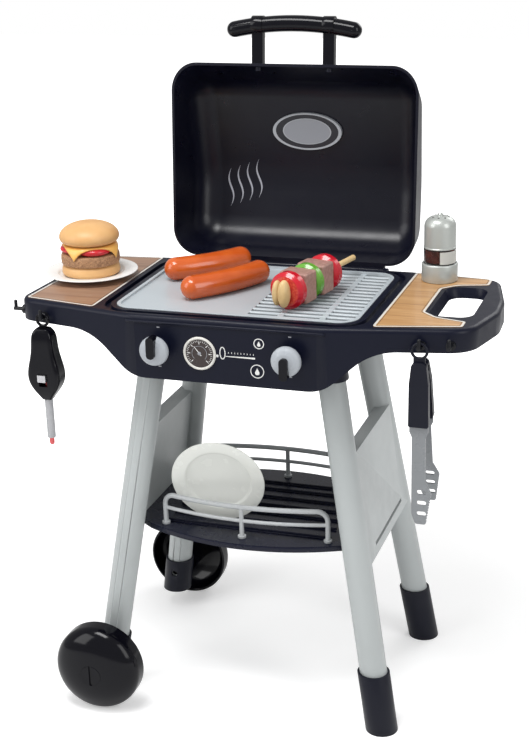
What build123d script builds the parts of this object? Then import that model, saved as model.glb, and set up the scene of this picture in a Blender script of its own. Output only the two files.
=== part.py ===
from build123d import *
from math import atan, atan2, cos, degrees, hypot, pi, radians, sin, sqrt, tan
import os

# A toy barbecue grill on four leaning legs, with its lid open and its play food on it.
# X runs to the right as seen from the control panel, Y to the back, Z up from the floor.

# Common values
overrun = 40.0
seat_gap = 0.25
running_gap = 0.05
slip_gap = 0.3

# Table
top_height = 463.0
wall = 3.0
skirt_height = 24.0
right_reach = 268.0
left_reach = 248.0
apron_front = 122.0
front_flat = 105.0
back_reach = 106.0
plan_round = 22.0
front_corner_round = 34.0
plan_bend = 60.0
top_round = 5.0
apron_drop = 69.0
apron_bottom_half = 104.5
apron_top_half = 183.0
apron_ramp_inset = 28.0
apron_low_round = 43.0
apron_high_round = 65.0
apron_depth = 27.0
ridge_radius = 1.4
ridge_half = 108.0
ridge_below_top = 6.5

# Grill plate and the well that it lies in
plate_half = 134.0
plate_front_land = 21.0
plate_back_land = 16.0
plate_round = 22.0
plate_proud = 0.8
plate_rim = 4.0
plate_sheet = 4.0
griddle_sink = 1.6
griddle_share = 0.555
bar_count = 15
bar_width = 6.0
bar_sink = 1.0
rib_width = 6.0
rib_shares = (0.30, 0.68)
well_depth = 12.0
well_floor = 2.5
groove_width = 6.5
groove_depth = 4.0
groove_land = 6.5

# Handle slot in the right wing
slot_land = 24.0
slot_depth = 11.0
slot_top_width = 46.0
slot_bottom_width = 41.4
slot_top_half = 54.0
slot_bottom_half = 50.0
slot_round = 15.0

# Printed labels and the gauge
label_thick = 0.4
label_side_land = 19.0
label_front_land = 17.0
label_back_land = 6.0
label_inset = 9.0
label_round = 4.0
gauge_x = 26.3
gauge_drop = 36.5
gauge_radius = 18.0
gauge_thick = 1.2
gauge_ring = 3.2

# Legs, panels, sockets and foot caps
foot_x = 163.8
foot_y = 108.0
socket_x = 89.7
socket_y = 66.3
leg_radius = 15.0
leg_wall = 2.5
leg_top_drop = 23.0
panel_bottom_share = 0.4017
panel_top_share = 0.6695
panel_thick = 16.0
panel_edge = 5.0
panel_recess = 1.0
collar_wall = 3.5
front_collar_drop = 70.0
rear_collar_drop = 29.0
collar_fit = 0.15
cap_wall = 2.5
cap_length = 67.0
cap_floor = 9.0
cap_fit = 0.15
wheel_side_lift = 22.0
screw_radius = 2.0
screw_head_radius = 3.6
screw_head = 2.2
screw_length = 10.0

# Wheels
wheel_radius = 50.0
wheel_depth = 36.0
wheel_wall = 3.0
wheel_gap = 0.6
rim_reach = 12.0
hub_radius = 15.0
pin_radius = 4.0
pin_head_radius = 12.0
pin_head = 3.0
pin_slot = 3.4
tread_width = 13.0

# Shelf and rails
shelf_share = 0.4363
shelf_thick = 3.5
shelf_band = 6.5
shelf_end_x = 128.0
shelf_end_y = 66.0
shelf_shoulder_x = 112.0
shelf_shoulder_y = 78.0
shelf_bow = 104.0
shelf_tab = 60.0
shelf_rib_height = 3.0
shelf_rib_width = 4.0
shelf_rib_half = 96.0
shelf_rib_shares = (-0.62, -0.40, -0.19, 0.02, 0.23, 0.44, 0.62)
rail_height = 39.0
rail_post_x = 95.0
rail_post_y = 73.0
rail_radius = 2.8
rail_low_radius = 2.1
rail_low_height = 20.0
rail_corner = 12.0
rail_bow_angle = 14.0
rail_foot_radius = 4.6
rail_foot = 2.5

# Lid
lid_length = 225.0
lid_half = 146.7
lid_wall = 3.0
lid_draft = 5.7
lid_seat = 0.6
lid_back = 105.0
lid_open = 94.93
lid_corner_round = 32.0
lid_back_height = 72.0
lid_back_lean = 7.0
lid_heel_round = 40.0
lid_crown = 88.0
lid_crown_height = 80.0
lid_crown_round = 120.0
lid_front_height = 57.0
lid_front_lean = 24.0
lid_nose_round = 36.0
hinge_radius = 4.5
hinge_pin_radius = 2.0
hinge_drop = 5.1
hinge_set_back = 5.9
barrel_half = 112.0
barrel_web = 5.0
pin_hold = 12.0
lug_width = 5.0
lug_gap = 0.5
handle_reach = 266.0
handle_height = 6.0
handle_half = 79.0
handle_radius = 9.0
handle_arch = 7.0
handle_leg_x = 42.0
handle_leg_width = 13.0
handle_leg_thick = 9.0
badge_reach = 144.5
badge_half_long = 42.3
badge_half_short = 22.2
badge_thick = 1.4

# Knobs and what makes them click
knob_x = 71.7
knob_drop = 33.0
knob_radius = 15.8
knob_rim = 3.0
knob_dome = 6.5
knob_gap = 0.4
knob_boss = 12.0
knob_boss_radius = 11.5
grip_width = 9.0
grip_long = 17.5
grip_short = 6.0
grip_proud = 7.0
shaft_radius = 4.0
shaft_length = 17.0
click_radius = 11.0
click_thick = 4.0
click_teeth = 12
click_notch = 1.6
click_set_back = 9.0
pawl_width = 3.0
pawl_thick = 1.6
pawl_gap = 0.4
pawl_foot = 6.0

# Hooks under the wings
hook_drop = 16.0
hook_radius = 2.2
hook_length = 13.0
hook_tip = 8.0
hook_tip_radius = 1.9
hook_base_radius = 5.0
inner_hook_share = 0.7575
outer_hook_share = 0.8657
probe_hook_share = 0.858
end_hook_y = 81.0

# Dishes
dish_radius = 53.0
dish_height = 8.0
dish_wall = 2.4
dish_foot_radius = 30.0
dish_floor_radius = 37.0
dish_land = 44.0
dish_y = 5.5
dinner_radius = 53.0
dinner_x = 36.6
dinner_y = 53.0
dinner_lean = 13.0
dinner_turn = 7.7

# Burger, from the bottom up
bun_radius = 35.0
bottom_bun = 13.0
patty_radius = 33.0
patty = 12.0
patty_flutes = 36
patty_flute = 0.9
tomato_radius = 33.5
tomato = 9.0
cheese_half = 29.0
cheese = 2.6
top_bun = 24.0
bun_edge = 5.0

# Sausages: end points on the plate, ends of the rounded tips
sausage_radius = 13.0
sausage_bow = 5.0
front_sausage_from = (-67.0, -60.0)
front_sausage_to = (-3.0, 37.0)
rear_sausage_from = (-114.0, 8.0)
rear_sausage_to = (-41.0, 88.0)

# Kebab on its stick, places along the stick from the front
kebab_front_x = 47.5
kebab_front_y = -82.0
kebab_turn = 13.0
stick_radius = 3.2
stick_length = 166.0
stick_start = 6.0
mushroom_long = 14.0
mushroom_radius = 15.0
mushroom_half = 11.0
tomato_slice_radius = 20.0
tomato_slice = 15.0
meat_half = 16.5
meat_long = 24.0
pepper_radius = 19.5
pepper_long = 13.0
kebab_gap = 0.3

# Pepper mill
mill_land = 84.0
mill_y = 77.0
mill_radius = 20.0
mill_base = 20.0
mill_window = 16.5
mill_window_radius = 18.0
mill_window_wall = 1.6
mill_cap = 38.5
mill_cap_round = 11.0
mill_knob_radius = 3.0
mill_knob = 3.5
mill_hole_radius = 1.2
mill_hole_count = 8

# Tongs
tongs_ring = 6.3
tongs_wire = 1.5
tongs_neck = 6.0
grip_length = 69.0
grip_half = 10.5
grip_thick = 8.0
arm_length = 62.0
arm_half = 7.0
arm_collar = 6.0
arm_thick = 2.4
head_length = 46.0
head_bulge = 13.6
head_end = 5.5
head_slot = 5.2
head_slot_long = 10.0
head_slot_pitch = 12.0
head_slot_shift = 3.6
head_slots = 3
tooth = 2.2
tooth_count = 9
tongs_open = 14.0
tongs_pivot = 8.0
tongs_pin_radius = 1.8
tongs_spread = 1.0
hinge_ear = 4.0

# Meat probe
probe_ring = 4.9
probe_wire = 1.6
probe_neck = 4.0
probe_length = 81.0
probe_belly_half = 18.8
probe_thick = 22.0
shaft_tube = 4.6
probe_shaft_length = 46.0
tip_length = 9.0
rod_radius = 2.7
button_width = 9.5
button_height = 8.0
button_proud = 3.0
button_travel = 6.0
button_share = 0.67

# What follows from these sizes
skirt_bottom = top_height - skirt_height
well_bottom = top_height - well_depth
well_under = well_bottom - well_floor
lean_x = (foot_x - socket_x) / top_height
lean_y = (foot_y - socket_y) / top_height
plate_front = apron_front - plate_front_land
plate_back = back_reach - plate_back_land
plate_mid = (plate_back - plate_front) / 2
plate_span = plate_back + plate_front
slot_right = right_reach - slot_land
slot_top_left = slot_right - slot_top_width
slot_bottom_left = slot_right - slot_bottom_width
label_inner = plate_half + label_side_land
label_front = apron_front - label_front_land
label_back = back_reach - label_back_land
label_top = top_height + label_thick
gauge_height = top_height - gauge_drop
knob_height = top_height - knob_drop
hook_height = top_height - hook_drop
inner_hook_x = right_reach * inner_hook_share
outer_hook_x = right_reach * outer_hook_share
probe_hook_x = left_reach * probe_hook_share
leg_top = top_height - leg_top_drop
panel_bottom = top_height * panel_bottom_share
panel_top = top_height * panel_top_share
front_collar_bottom = top_height - front_collar_drop
rear_collar_bottom = top_height - rear_collar_drop
shelf_top = top_height * shelf_share
dish_x = left_reach - dish_land
mill_x = right_reach - mill_land
hinge_y = lid_back + hinge_set_back
rim_height = top_height + lid_seat
hinge_height = rim_height - hinge_drop
slot_low = top_height - slot_depth
barrel_reach = barrel_half + lug_gap + lug_width
knob_back = apron_front + knob_boss + knob_gap
griddle_top = top_height - griddle_sink
bar_top = top_height - bar_sink


def at(x, y, z):
    """A place in the grill's own axes."""
    return Location((x, y, z))


def block(x0, x1, y0, y1, z0, z1):
    """A box between two corners."""
    size = (x1 - x0, y1 - y0, z1 - z0)
    return at((x0 + x1) / 2, (y0 + y1) / 2, (z0 + z1) / 2) * Box(*size)


def rod(start, end, radius):
    """A straight round rod from one point to another."""
    start, end = Vector(*start), Vector(*end)
    along = end - start
    plane = Plane(origin=start, z_dir=along)
    return extrude(plane * Circle(radius), along.length)


def corner_face(corners):
    """A flat face through (x, y, radius) corners, each rounded by its radius."""
    face = make_face(Polyline(*[(x, y) for x, y, _ in corners], close=True)).faces()[0]
    for x, y, radius in corners:
        if radius:
            corner = min(face.vertices(), key=lambda v: hypot(v.X - x, v.Y - y))
            face = face.fillet_2d(radius, [corner])
    return Face(face.wrapped)


def upright_face(corners, y):
    """The same in the plane across the grill at y, from (x, z, radius) corners."""
    return Plane(origin=(0, y, 0), x_dir=(1, 0, 0), z_dir=(0, -1, 0)) * corner_face(corners)


def turned(profile):
    """A solid of revolution about Z from (radius, height) points."""
    face = make_face(Plane.XZ * Polyline(*profile, close=True))
    return revolve(face, Axis.Z)


def joined(shapes):
    """One solid from several that touch or overlap."""
    shapes = list(shapes)
    return shapes[0].fuse(*shapes[1:]) if len(shapes) > 1 else shapes[0]


# Table plan: shares of the reach to each side and of the depth to the front or back
right_plan_shares = ((0.933, -0.78), (1.0, -0.2), (0.993, 0.17), (0.93, 0.875), (0.56, 1.0))
left_plan_shares = ((-0.6, 1.0), (-0.965, 0.93), (-1.0, -0.76))


def plan_corners():
    """The table's outline, anticlockwise from the left end of the front panel."""
    corners = [(-front_flat, -apron_front, plan_bend), (front_flat, -apron_front, plan_bend)]
    for n, (x, y) in enumerate(right_plan_shares):
        depth = apron_front if y < 0 else back_reach
        radius = front_corner_round if n == 0 else plan_round if n == 3 else plan_bend
        corners.append((x * right_reach, y * depth, radius))
    for n, (x, y) in enumerate(left_plan_shares):
        depth = apron_front if y < 0 else back_reach
        radius = plan_bend if n == 0 else plan_round
        corners.append((x * left_reach, y * depth, radius))
    return corners


def plan_prism(inset, low, high):
    """The table's outline moved inwards by inset, between two heights."""
    face = corner_face(plan_corners())
    if inset:
        face = offset(face, -inset).faces()[0]
    return extrude(at(0, 0, low) * face, high - low)


def skirt_y(x):
    """Where the skirt's front face is, beside the front panel."""
    reach, low = (right_reach, right_plan_shares[0]) if x > 0 else (left_reach, left_plan_shares[-1])
    far_x, far_y = abs(low[0]) * reach, low[1] * apron_front
    share = (abs(x) - front_flat) / (far_x - front_flat)
    return -apron_front + share * (far_y + apron_front)


def apron_prism(inset, y_low, y_high):
    """The front panel's outline with its S-shaped ends, moved inwards by inset."""
    bottom = top_height - apron_drop
    ramp_top = apron_top_half - apron_ramp_inset
    ramp_half = (ramp_top + apron_bottom_half) / 2
    ramp_height = (skirt_bottom + bottom) / 2
    face = corner_face(
        [
            (-apron_top_half, skirt_bottom + top_round, 0),
            (-apron_top_half, skirt_bottom, 0),
            (-ramp_top, skirt_bottom, apron_high_round),
            (-ramp_half, ramp_height, 0),
            (-apron_bottom_half, bottom, apron_low_round),
            (apron_bottom_half, bottom, apron_low_round),
            (ramp_half, ramp_height, 0),
            (ramp_top, skirt_bottom, apron_high_round),
            (apron_top_half, skirt_bottom, 0),
            (apron_top_half, skirt_bottom + top_round, 0),
        ]
    )
    if inset:
        face = offset(face, -inset).faces()[0]
        lift = inset + overrun / 2
        half = apron_top_half - inset
        top = skirt_bottom + top_round - inset
        strip = [(-half, top, 0), (half, top, 0), (half, top + lift, 0), (-half, top + lift, 0)]
        face = face + corner_face(strip)
        face = face.faces()[0] if hasattr(face, "faces") else face
    plane = Plane(origin=(0, y_high, 0), x_dir=(1, 0, 0), z_dir=(0, -1, 0))
    return extrude(plane * face, y_high - y_low)


def slot_loft(grow, low, high):
    """The finger hole of the side handle, which narrows towards its bottom."""

    def ring(height):
        share = (height - slot_low) / slot_depth
        left = slot_bottom_left + (slot_top_left - slot_bottom_left) * share - grow
        half = slot_bottom_half + (slot_top_half - slot_bottom_half) * share + grow
        right = slot_right + grow
        radius = slot_round + grow
        corners = [(left, -half, radius), (right, -half, radius), (right, half, radius), (left, half, radius)]
        return at(0, 0, height) * corner_face(corners)

    return loft([ring(low), ring(high)], ruled=True)


def well_prism(grow, low, high):
    """The plate's outline grown sideways, between two heights."""
    half = plate_half + grow
    radius = plate_round + grow
    front, back = -plate_front - grow, plate_back + grow
    corners = [(-half, front, radius), (half, front, radius), (half, back, radius), (-half, back, radius)]
    return extrude(at(0, 0, low) * corner_face(corners), high - low)


def leg_point(side, end, height):
    """The point of a leg's axis at a height. side is -1 left or 1 right, end is -1 front or 1 rear."""
    return Vector(side * (foot_x - lean_x * height), end * (foot_y - lean_y * height), height)


def leg_rod(side, end, radius, low, high):
    """A round rod along a leg's axis, cut level at both ends."""
    body = rod(leg_point(side, end, low - overrun), leg_point(side, end, high + overrun), radius)
    x, y, _ = leg_point(side, end, (low + high) / 2)
    reach = radius + overrun + lean_x * (high - low)
    return body & block(x - reach, x + reach, y - reach, y + reach, low, high)


def leg_ends():
    """Side and end of each leg, left first and front first."""
    return [(side, end) for side in (-1, 1) for end in (-1, 1)]


def screw_places():
    """Where the sockets' screws stand."""
    return [leg_point(side, end, well_under) for side, end in leg_ends()]


def hinge_rod(low, high, radius):
    """A rod along the lid's hinge between two places along X."""
    return rod((low, hinge_y, hinge_height), (high, hinge_y, hinge_height), radius)


def make_table_top():
    """The table: a shell open below, with the well, the handle slot, the apron and the hinge lugs."""
    slab = plan_prism(0, skirt_bottom, top_height)
    rim = [e for e in slab.edges() if abs(e.center().Z - top_height) < running_gap]
    slab = fillet(rim, top_round)
    apron = apron_prism(0, -apron_front - overrun, -apron_front + apron_depth)
    apron = apron & plan_prism(0, top_height - apron_drop - overrun, skirt_bottom + top_round)
    table = joined([slab, apron])
    ridge_height = top_height - ridge_below_top
    table = joined(
        [table, rod((-ridge_half, -apron_front, ridge_height), (ridge_half, -apron_front, ridge_height), ridge_radius)]
    )
    keep = [well_prism(wall + slip_gap, well_under, top_height), slot_loft(wall, slot_low, top_height)]
    cavity = plan_prism(wall, skirt_bottom - overrun, top_height - wall)
    far_back = back_reach + overrun
    ceiling = block(-right_reach, right_reach, -apron_front, far_back, skirt_bottom - running_gap, top_height)
    upper = (cavity & ceiling).cut(*keep)
    lower = apron_prism(wall, -apron_front, -apron_front + apron_depth + overrun)
    lower = lower & plan_prism(wall, top_height - apron_drop - overrun, skirt_bottom + top_round)
    table = table.cut(upper, lower, well_prism(slip_gap, well_bottom, top_height + overrun))
    table = table.cut(slot_loft(0, slot_low, top_height))
    outer = groove_land + groove_width
    groove = well_prism(outer, top_height - groove_depth, top_height + overrun)
    groove = groove.cut(well_prism(groove_land, top_height - groove_depth, top_height + overrun))
    groove_end = lid_back - 2 * hinge_radius
    groove = groove & block(-right_reach, right_reach, -apron_front, groove_end, skirt_bottom, top_height + overrun)
    bed = well_prism(outer + wall, top_height - groove_depth - wall, top_height - wall)
    bed = bed & plan_prism(wall / 2, top_height - groove_depth - wall, top_height - wall)
    bed = bed.cut(well_prism(0, top_height - well_depth, top_height))
    table = joined([table, bed.cut(well_prism(wall, well_under, top_height))]).cut(groove)
    lugs = []
    for side in (-1, 1):
        low, high = sorted((side * (barrel_half + lug_gap), side * barrel_reach))
        half = hinge_radius * 0.8
        foot = block(low, high, back_reach - wall, hinge_y, hinge_height - half, hinge_height + half)
        lugs += [hinge_rod(low, high, hinge_radius), foot]
        lugs.append(knob_rod(side, knob_boss_radius, apron_front + knob_boss, apron_front - wall / 2))
    table = joined([table, *lugs])
    for side in (-1, 1):
        bore_end = side * (barrel_reach + overrun)
        table = table.cut(hinge_rod(side * barrel_half, bore_end, hinge_pin_radius + running_gap))
        table = table.cut(knob_rod(side, shaft_radius + 2 * running_gap, apron_front + overrun, apron_front - wall * 2))
    for place in screw_places():
        start, end = (place.X, place.Y, well_bottom + wall), (place.X, place.Y, well_under - wall)
        table = table.cut(rod(start, end, screw_radius + running_gap))
    return table


def knob_rod(side, radius, front, back):
    """A rod along a knob's axis between two distances in front of the grill's middle."""
    return rod((side * knob_x, -front, knob_height), (side * knob_x, -back, knob_height), radius)


def make_grill_plate():
    """The grey plate: a smooth griddle on the left, bars and two ribs on the right, a raised rim."""
    top = top_height + plate_proud
    rim = well_prism(0, well_bottom, top)
    rim = fillet([e for e in rim.edges() if abs(e.center().Z - top) < running_gap], plate_proud / 2)
    rim = rim.cut(well_prism(-plate_rim, well_bottom - overrun, top + overrun))
    inner = well_prism(-plate_rim, well_bottom, top)
    middle = -plate_half + 2 * plate_half * griddle_share
    sheet = inner & block(-plate_half, middle, -plate_front, plate_back, griddle_top - plate_sheet, griddle_top)
    shapes = [rim, sheet]
    pitch = plate_span / (bar_count + 1)
    for n in range(bar_count):
        y = -plate_front + pitch * (n + 1)
        low = bar_top - plate_sheet
        bar = block(middle, plate_half, y - bar_width / 2, y + bar_width / 2, low, bar_top - bar_width / 2 + running_gap)
        crown = rod((middle, y, bar_top - bar_width / 2), (plate_half, y, bar_top - bar_width / 2), bar_width / 2)
        shapes.append(joined([bar, crown & block(middle, plate_half, -plate_front, plate_back, low, top)]) & inner)
    for share in rib_shares:
        x = middle + (plate_half - middle) * share
        rib = block(x - rib_width / 2, x + rib_width / 2, -plate_front, plate_back, bar_top - plate_sheet, bar_top - bar_sink / 2)
        shapes.append(rib & inner)
    return joined(shapes)


def make_right_label():
    """The right wing's wood print, C-shaped round the handle slot."""
    tip = slot_right - label_thick * 8
    edge = slot_top_half + label_inset / 2
    prong = slot_top_half + label_inset * 1.5
    bay = slot_top_left - label_inset / 2
    corners = [
        (label_inner, -label_front, label_round),
        (tip, -label_front + label_inset * 2.2, label_round),
        (tip, -prong, label_round),
        (bay + slot_round, -edge, slot_round),
        (bay, -edge + slot_round, slot_round / 2),
        (bay, edge - slot_round, slot_round / 2),
        (bay + slot_round, edge, slot_round),
        (tip, prong, label_round),
        (tip, label_back - label_inset, label_round * 2),
        (label_inner, label_back, label_round),
    ]
    return extrude(at(0, 0, top_height) * corner_face(corners), label_thick)


def make_left_label():
    """The left wing's wood print."""
    end_front = -left_reach + label_inset
    end_back = left_plan_shares[1][0] * left_reach + label_inset
    corners = [
        (-label_inner, -label_front, label_round),
        (-label_inner, label_back, label_round),
        (end_back, label_back - label_inset, label_round),
        (end_front, left_plan_shares[-1][1] * apron_front + label_inset / 2, label_round),
    ]
    return extrude(at(0, 0, top_height) * corner_face(corners), label_thick)


def make_gauge_dial():
    """A thermometer face with a raised ring, on the front panel."""
    disc = rod((-gauge_x, -apron_front, gauge_height), (-gauge_x, -apron_front - gauge_thick, gauge_height), gauge_radius)
    start = -apron_front - gauge_thick / 2
    face = rod((-gauge_x, start, gauge_height), (-gauge_x, start - overrun, gauge_height), gauge_radius - gauge_ring)
    return disc.cut(face)


def side_panel(side, inset):
    """The panel between the two legs of one side, in the plane of their axes."""
    lean = atan(lean_x)
    up = Vector(-side * sin(lean), 0, cos(lean))
    out = Vector(side * cos(lean), 0, sin(lean))
    origin = Vector(side * foot_x, 0, 0) + out * (leg_radius - panel_recess - inset)
    plane = Plane(origin=origin, x_dir=(0, side, 0), z_dir=out * -1)
    low, high = (panel_bottom + inset) / cos(lean), (panel_top - inset) / cos(lean)
    corners = []
    for height, sign in ((low, -1), (low, 1), (high, 1), (high, -1)):
        corners.append((sign * (foot_y - lean_y * height * cos(lean)), height, 0))
    if plane.y_dir.Z < 0:
        corners = [(y, -height, radius) for y, height, radius in corners]
    return extrude(plane * corner_face(corners), panel_thick - 2 * inset)


def shelf_slot(side, grow):
    """The space of the shelf's end tab in a side panel."""
    middle = foot_x - lean_x * shelf_top
    low, high = sorted((side * (middle - overrun / 2), side * (middle + overrun / 2)))
    tall = shelf_thick + grow
    return block(low, high, -shelf_tab - grow, shelf_tab + grow, shelf_top - tall, shelf_top + grow)


def make_leg_frame(side):
    """Two hollow legs and the hollow panel between them, blown as one piece."""
    solid = joined([side_panel(side, 0)] + [leg_rod(side, end, leg_radius, cap_floor + wheel_side_lift, leg_top) for end in (-1, 1)])
    hollow = [side_panel(side, leg_wall).cut(shelf_slot(side, leg_wall + slip_gap))]
    hollow += [leg_rod(side, end, leg_radius - leg_wall, -overrun, leg_top + overrun) for end in (-1, 1)]
    frame = solid.cut(*hollow)
    frame = frame.cut(shelf_slot(side, slip_gap))
    if side < 0:
        for end in (-1, 1):
            frame = frame.cut(axle_rod(end, pin_radius + running_gap, 0, wheel_face + overrun))
    return frame


def make_foot(side, end):
    """A foot cap over a leg's lower end. The two beside the wheels stay clear of the floor."""
    low = wheel_side_lift if side < 0 else 0
    outer = leg_radius + cap_fit + cap_wall
    cap = leg_rod(side, end, outer, low, cap_length)
    cap = cap.cut(leg_rod(side, end, leg_radius + cap_fit, cap_floor + wheel_side_lift - seat_gap, cap_length + overrun))
    if side < 0:
        cap = cap.cut(axle_rod(end, pin_radius + running_gap, 0, wheel_face + overrun))
    return cap


def make_leg_sockets():
    """Four collars under the table, each round the top of a leg."""
    collars = []
    for side, end in leg_ends():
        low = front_collar_bottom if end < 0 else rear_collar_bottom
        collar = leg_rod(side, end, leg_radius + collar_fit + collar_wall, low, well_under)
        collar = collar.cut(leg_rod(side, end, leg_radius + collar_fit, low - overrun, leg_top + seat_gap))
        place = leg_point(side, end, well_under)
        screw = rod((place.X, place.Y, well_under + overrun), (place.X, place.Y, leg_top), screw_radius + running_gap)
        collars.append(collar.cut(screw))
    return Compound(children=[Solid(c.solids()[0].wrapped) for c in collars])


def make_socket_screws():
    """The screws through the well's floor into the sockets."""
    screws = []
    for place in screw_places():
        tip = well_bottom - screw_length
        shank = rod((place.X, place.Y, well_bottom), (place.X, place.Y, tip), screw_radius)
        head = rod((place.X, place.Y, well_bottom), (place.X, place.Y, well_bottom + screw_head), screw_head_radius)
        screw = joined([head, shank])
        slot = block(
            place.X - screw_head_radius,
            place.X + screw_head_radius,
            place.Y - pin_slot / 3,
            place.Y + pin_slot / 3,
            well_bottom + screw_head / 2,
            well_bottom + screw_head * 2,
        )
        screws.append(screw.cut(slot))
    return Compound(children=[Solid(s.solids()[0].wrapped) for s in screws])


axle_height = wheel_radius
axle_x = -(foot_x - lean_x * axle_height)
cap_face = foot_y - lean_y * axle_height + leg_radius + cap_fit + cap_wall
wheel_face = cap_face + wheel_gap + hub_radius * lean_y
rim_plane = wheel_face + rim_reach
dome_apex = rim_plane + wheel_depth


def axle_rod(end, radius, inner, outer):
    """A rod along a wheel's axis between two distances from the grill's middle."""
    return rod((axle_x, end * inner, axle_height), (axle_x, end * outer, axle_height), radius)


def wheel_profile(inset):
    """Half section of the wheel's domed shell as (radius, distance out of its rim plane)."""
    tread = wheel_radius - inset
    depth = wheel_depth - inset
    points = [(tread, 0), (tread, tread_width)]
    steps = 7
    for n in range(1, steps):
        turn = pi / 2 * n / steps
        points.append((tread * cos(turn) ** 0.8, tread_width + (depth - tread_width) * sin(turn)))
    return points + [(0, depth), (0, 0)]


def make_wheel(end):
    """A domed wheel with a hub tube inside, open towards the grill."""
    shell = turned(wheel_profile(0)).cut(turned(wheel_profile(wheel_wall)))
    hub = extrude(at(0, 0, wheel_face - rim_plane) * Circle(hub_radius), dome_apex - wheel_face - wheel_wall)
    wheel = joined([shell, hub])
    wheel = wheel.cut(extrude(at(0, 0, -overrun) * Circle(pin_radius + running_gap), wheel_depth + 2 * overrun))
    recess = extrude(at(0, 0, wheel_depth - pin_head) * Circle(pin_head_radius + slip_gap), overrun)
    wheel = wheel.cut(recess)
    turn = Plane(origin=(axle_x, end * rim_plane, axle_height), x_dir=(1, 0, 0), z_dir=(0, end, 0))
    return turn.location * wheel


def make_wheel_pins():
    """The two wheel pins, from inside the leg to a slotted head in the dome's middle."""
    pins = []
    for end in (-1, 1):
        head_back = dome_apex - pin_head + running_gap
        pin = axle_rod(end, pin_radius, cap_face - 2 * leg_radius, head_back + pin_head / 2)
        head = axle_rod(end, pin_head_radius, head_back, dome_apex)
        low, high = sorted((end * (dome_apex - pin_head / 2), end * (dome_apex + overrun)))
        slot = block(
            axle_x - pin_slot / 2,
            axle_x + pin_slot / 2,
            low,
            high,
            axle_height - pin_head_radius,
            axle_height + pin_head_radius,
        )
        pins.append(joined([pin, head]).cut(slot))
    return Compound(children=[Solid(p.solids()[0].wrapped) for p in pins])


def shelf_face(inset):
    """The shelf's lens-shaped plan with blunt ends at the side panels."""
    bow = shelf_bow - inset
    shoulder_y, shoulder_x = shelf_shoulder_y - inset, shelf_shoulder_x
    end_x, end_y = shelf_end_x - inset, shelf_end_y - inset
    front = ThreePointArc((-shoulder_x, -shoulder_y), (0, -bow), (shoulder_x, -shoulder_y))
    right = Polyline((shoulder_x, -shoulder_y), (end_x, -end_y), (end_x, end_y), (shoulder_x, shoulder_y))
    back = ThreePointArc((shoulder_x, shoulder_y), (0, bow), (-shoulder_x, shoulder_y))
    left = Polyline((-shoulder_x, shoulder_y), (-end_x, end_y), (-end_x, -end_y), (-shoulder_x, -shoulder_y))
    return make_face([front.edge(), *right.edges(), back.edge(), *left.edges()])


def make_shelf():
    """The lower shelf: a thin floor with ribs, a hanging band all round and two end tabs."""
    floor = extrude(at(0, 0, shelf_top - shelf_thick) * shelf_face(0), shelf_thick)
    band = extrude(at(0, 0, shelf_top - shelf_band) * shelf_face(0), shelf_band)
    band = band.cut(extrude(at(0, 0, shelf_top - shelf_band - overrun) * shelf_face(wall), shelf_band + 2 * overrun))
    shapes = [floor, band]
    for share in shelf_rib_shares:
        y = share * shelf_bow
        shapes.append(
            block(
                -shelf_rib_half,
                shelf_rib_half,
                y - shelf_rib_width / 2,
                y + shelf_rib_width / 2,
                shelf_top - shelf_thick,
                shelf_top + shelf_rib_height,
            )
        )
    tab_end = foot_x - lean_x * shelf_top + leg_radius - panel_edge / 2
    shapes.append(block(-tab_end, tab_end, -shelf_tab, shelf_tab, shelf_top - shelf_thick, shelf_top))
    return joined(shapes)


def make_rail(end):
    """A two-bar rail on the shelf's front or rear edge, bowed like that edge."""
    bow = radians(rail_bow_angle)
    along = Vector(cos(bow), end * sin(bow), 0)
    foot = Vector(-rail_post_x, end * rail_post_y, shelf_top)
    radius = (rail_post_x - rail_corner * cos(bow)) / sin(bow)
    top = shelf_top + rail_height - rail_radius
    lift = Vector(0, 0, top - shelf_top)
    knee = foot + lift - Vector(0, 0, rail_corner)
    start = foot + lift + along * rail_corner
    bend = foot + lift + along * (rail_corner * (1 - cos(pi / 4))) - Vector(0, 0, rail_corner * (1 - sin(pi / 4)))
    middle = Vector(0, start.Y + end * radius * (1 - cos(bow)), top)

    def mirrored(point):
        return Vector(-point.X, point.Y, point.Z)

    path = Wire(
        [
            Edge.make_line(foot, knee),
            Edge.make_three_point_arc(knee, bend, start),
            Edge.make_three_point_arc(start, middle, mirrored(start)),
            Edge.make_three_point_arc(mirrored(start), mirrored(bend), mirrored(knee)),
            Edge.make_line(mirrored(knee), mirrored(foot)),
        ]
    )
    bar = sweep(Plane(origin=foot, z_dir=(0, 0, 1)) * Circle(rail_radius), path=path)
    low = Vector(0, 0, rail_low_height)
    left, right = foot + low, mirrored(foot) + low
    centre = Vector(0, middle.Y, shelf_top + rail_low_height)
    low_edge = Edge.make_three_point_arc(left, centre, right)
    low_plane = Plane(origin=left, z_dir=low_edge.tangent_at(0))
    low_bar = sweep(low_plane * Circle(rail_low_radius), path=Wire([low_edge]))
    shapes = [bar, low_bar, rod((0, middle.Y, shelf_top), (0, middle.Y, top), rail_radius * 0.9)]
    for place in (foot, mirrored(foot), Vector(0, middle.Y, shelf_top)):
        shapes.append(rod(place, place + Vector(0, 0, rail_foot), rail_foot_radius))
    return joined(shapes)


def lid_section(inset):
    """The closed lid's side outline as (distance forward of the back rim, height above the rim)."""
    back_x, back_z = lid_back_lean, lid_back_height
    front_x, front_z = lid_length - lid_front_lean, lid_front_height
    below = overrun / lid_back_height
    face = corner_face(
        [
            (-back_x * below, -back_z * below, 0),
            (lid_length + lid_front_lean * below, -front_z * below, 0),
            (front_x, front_z, lid_nose_round),
            (lid_crown, lid_crown_height, lid_crown_round),
            (back_x, back_z, lid_heel_round),
        ]
    )
    return offset(face, -inset).faces()[0] if inset else face


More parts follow.
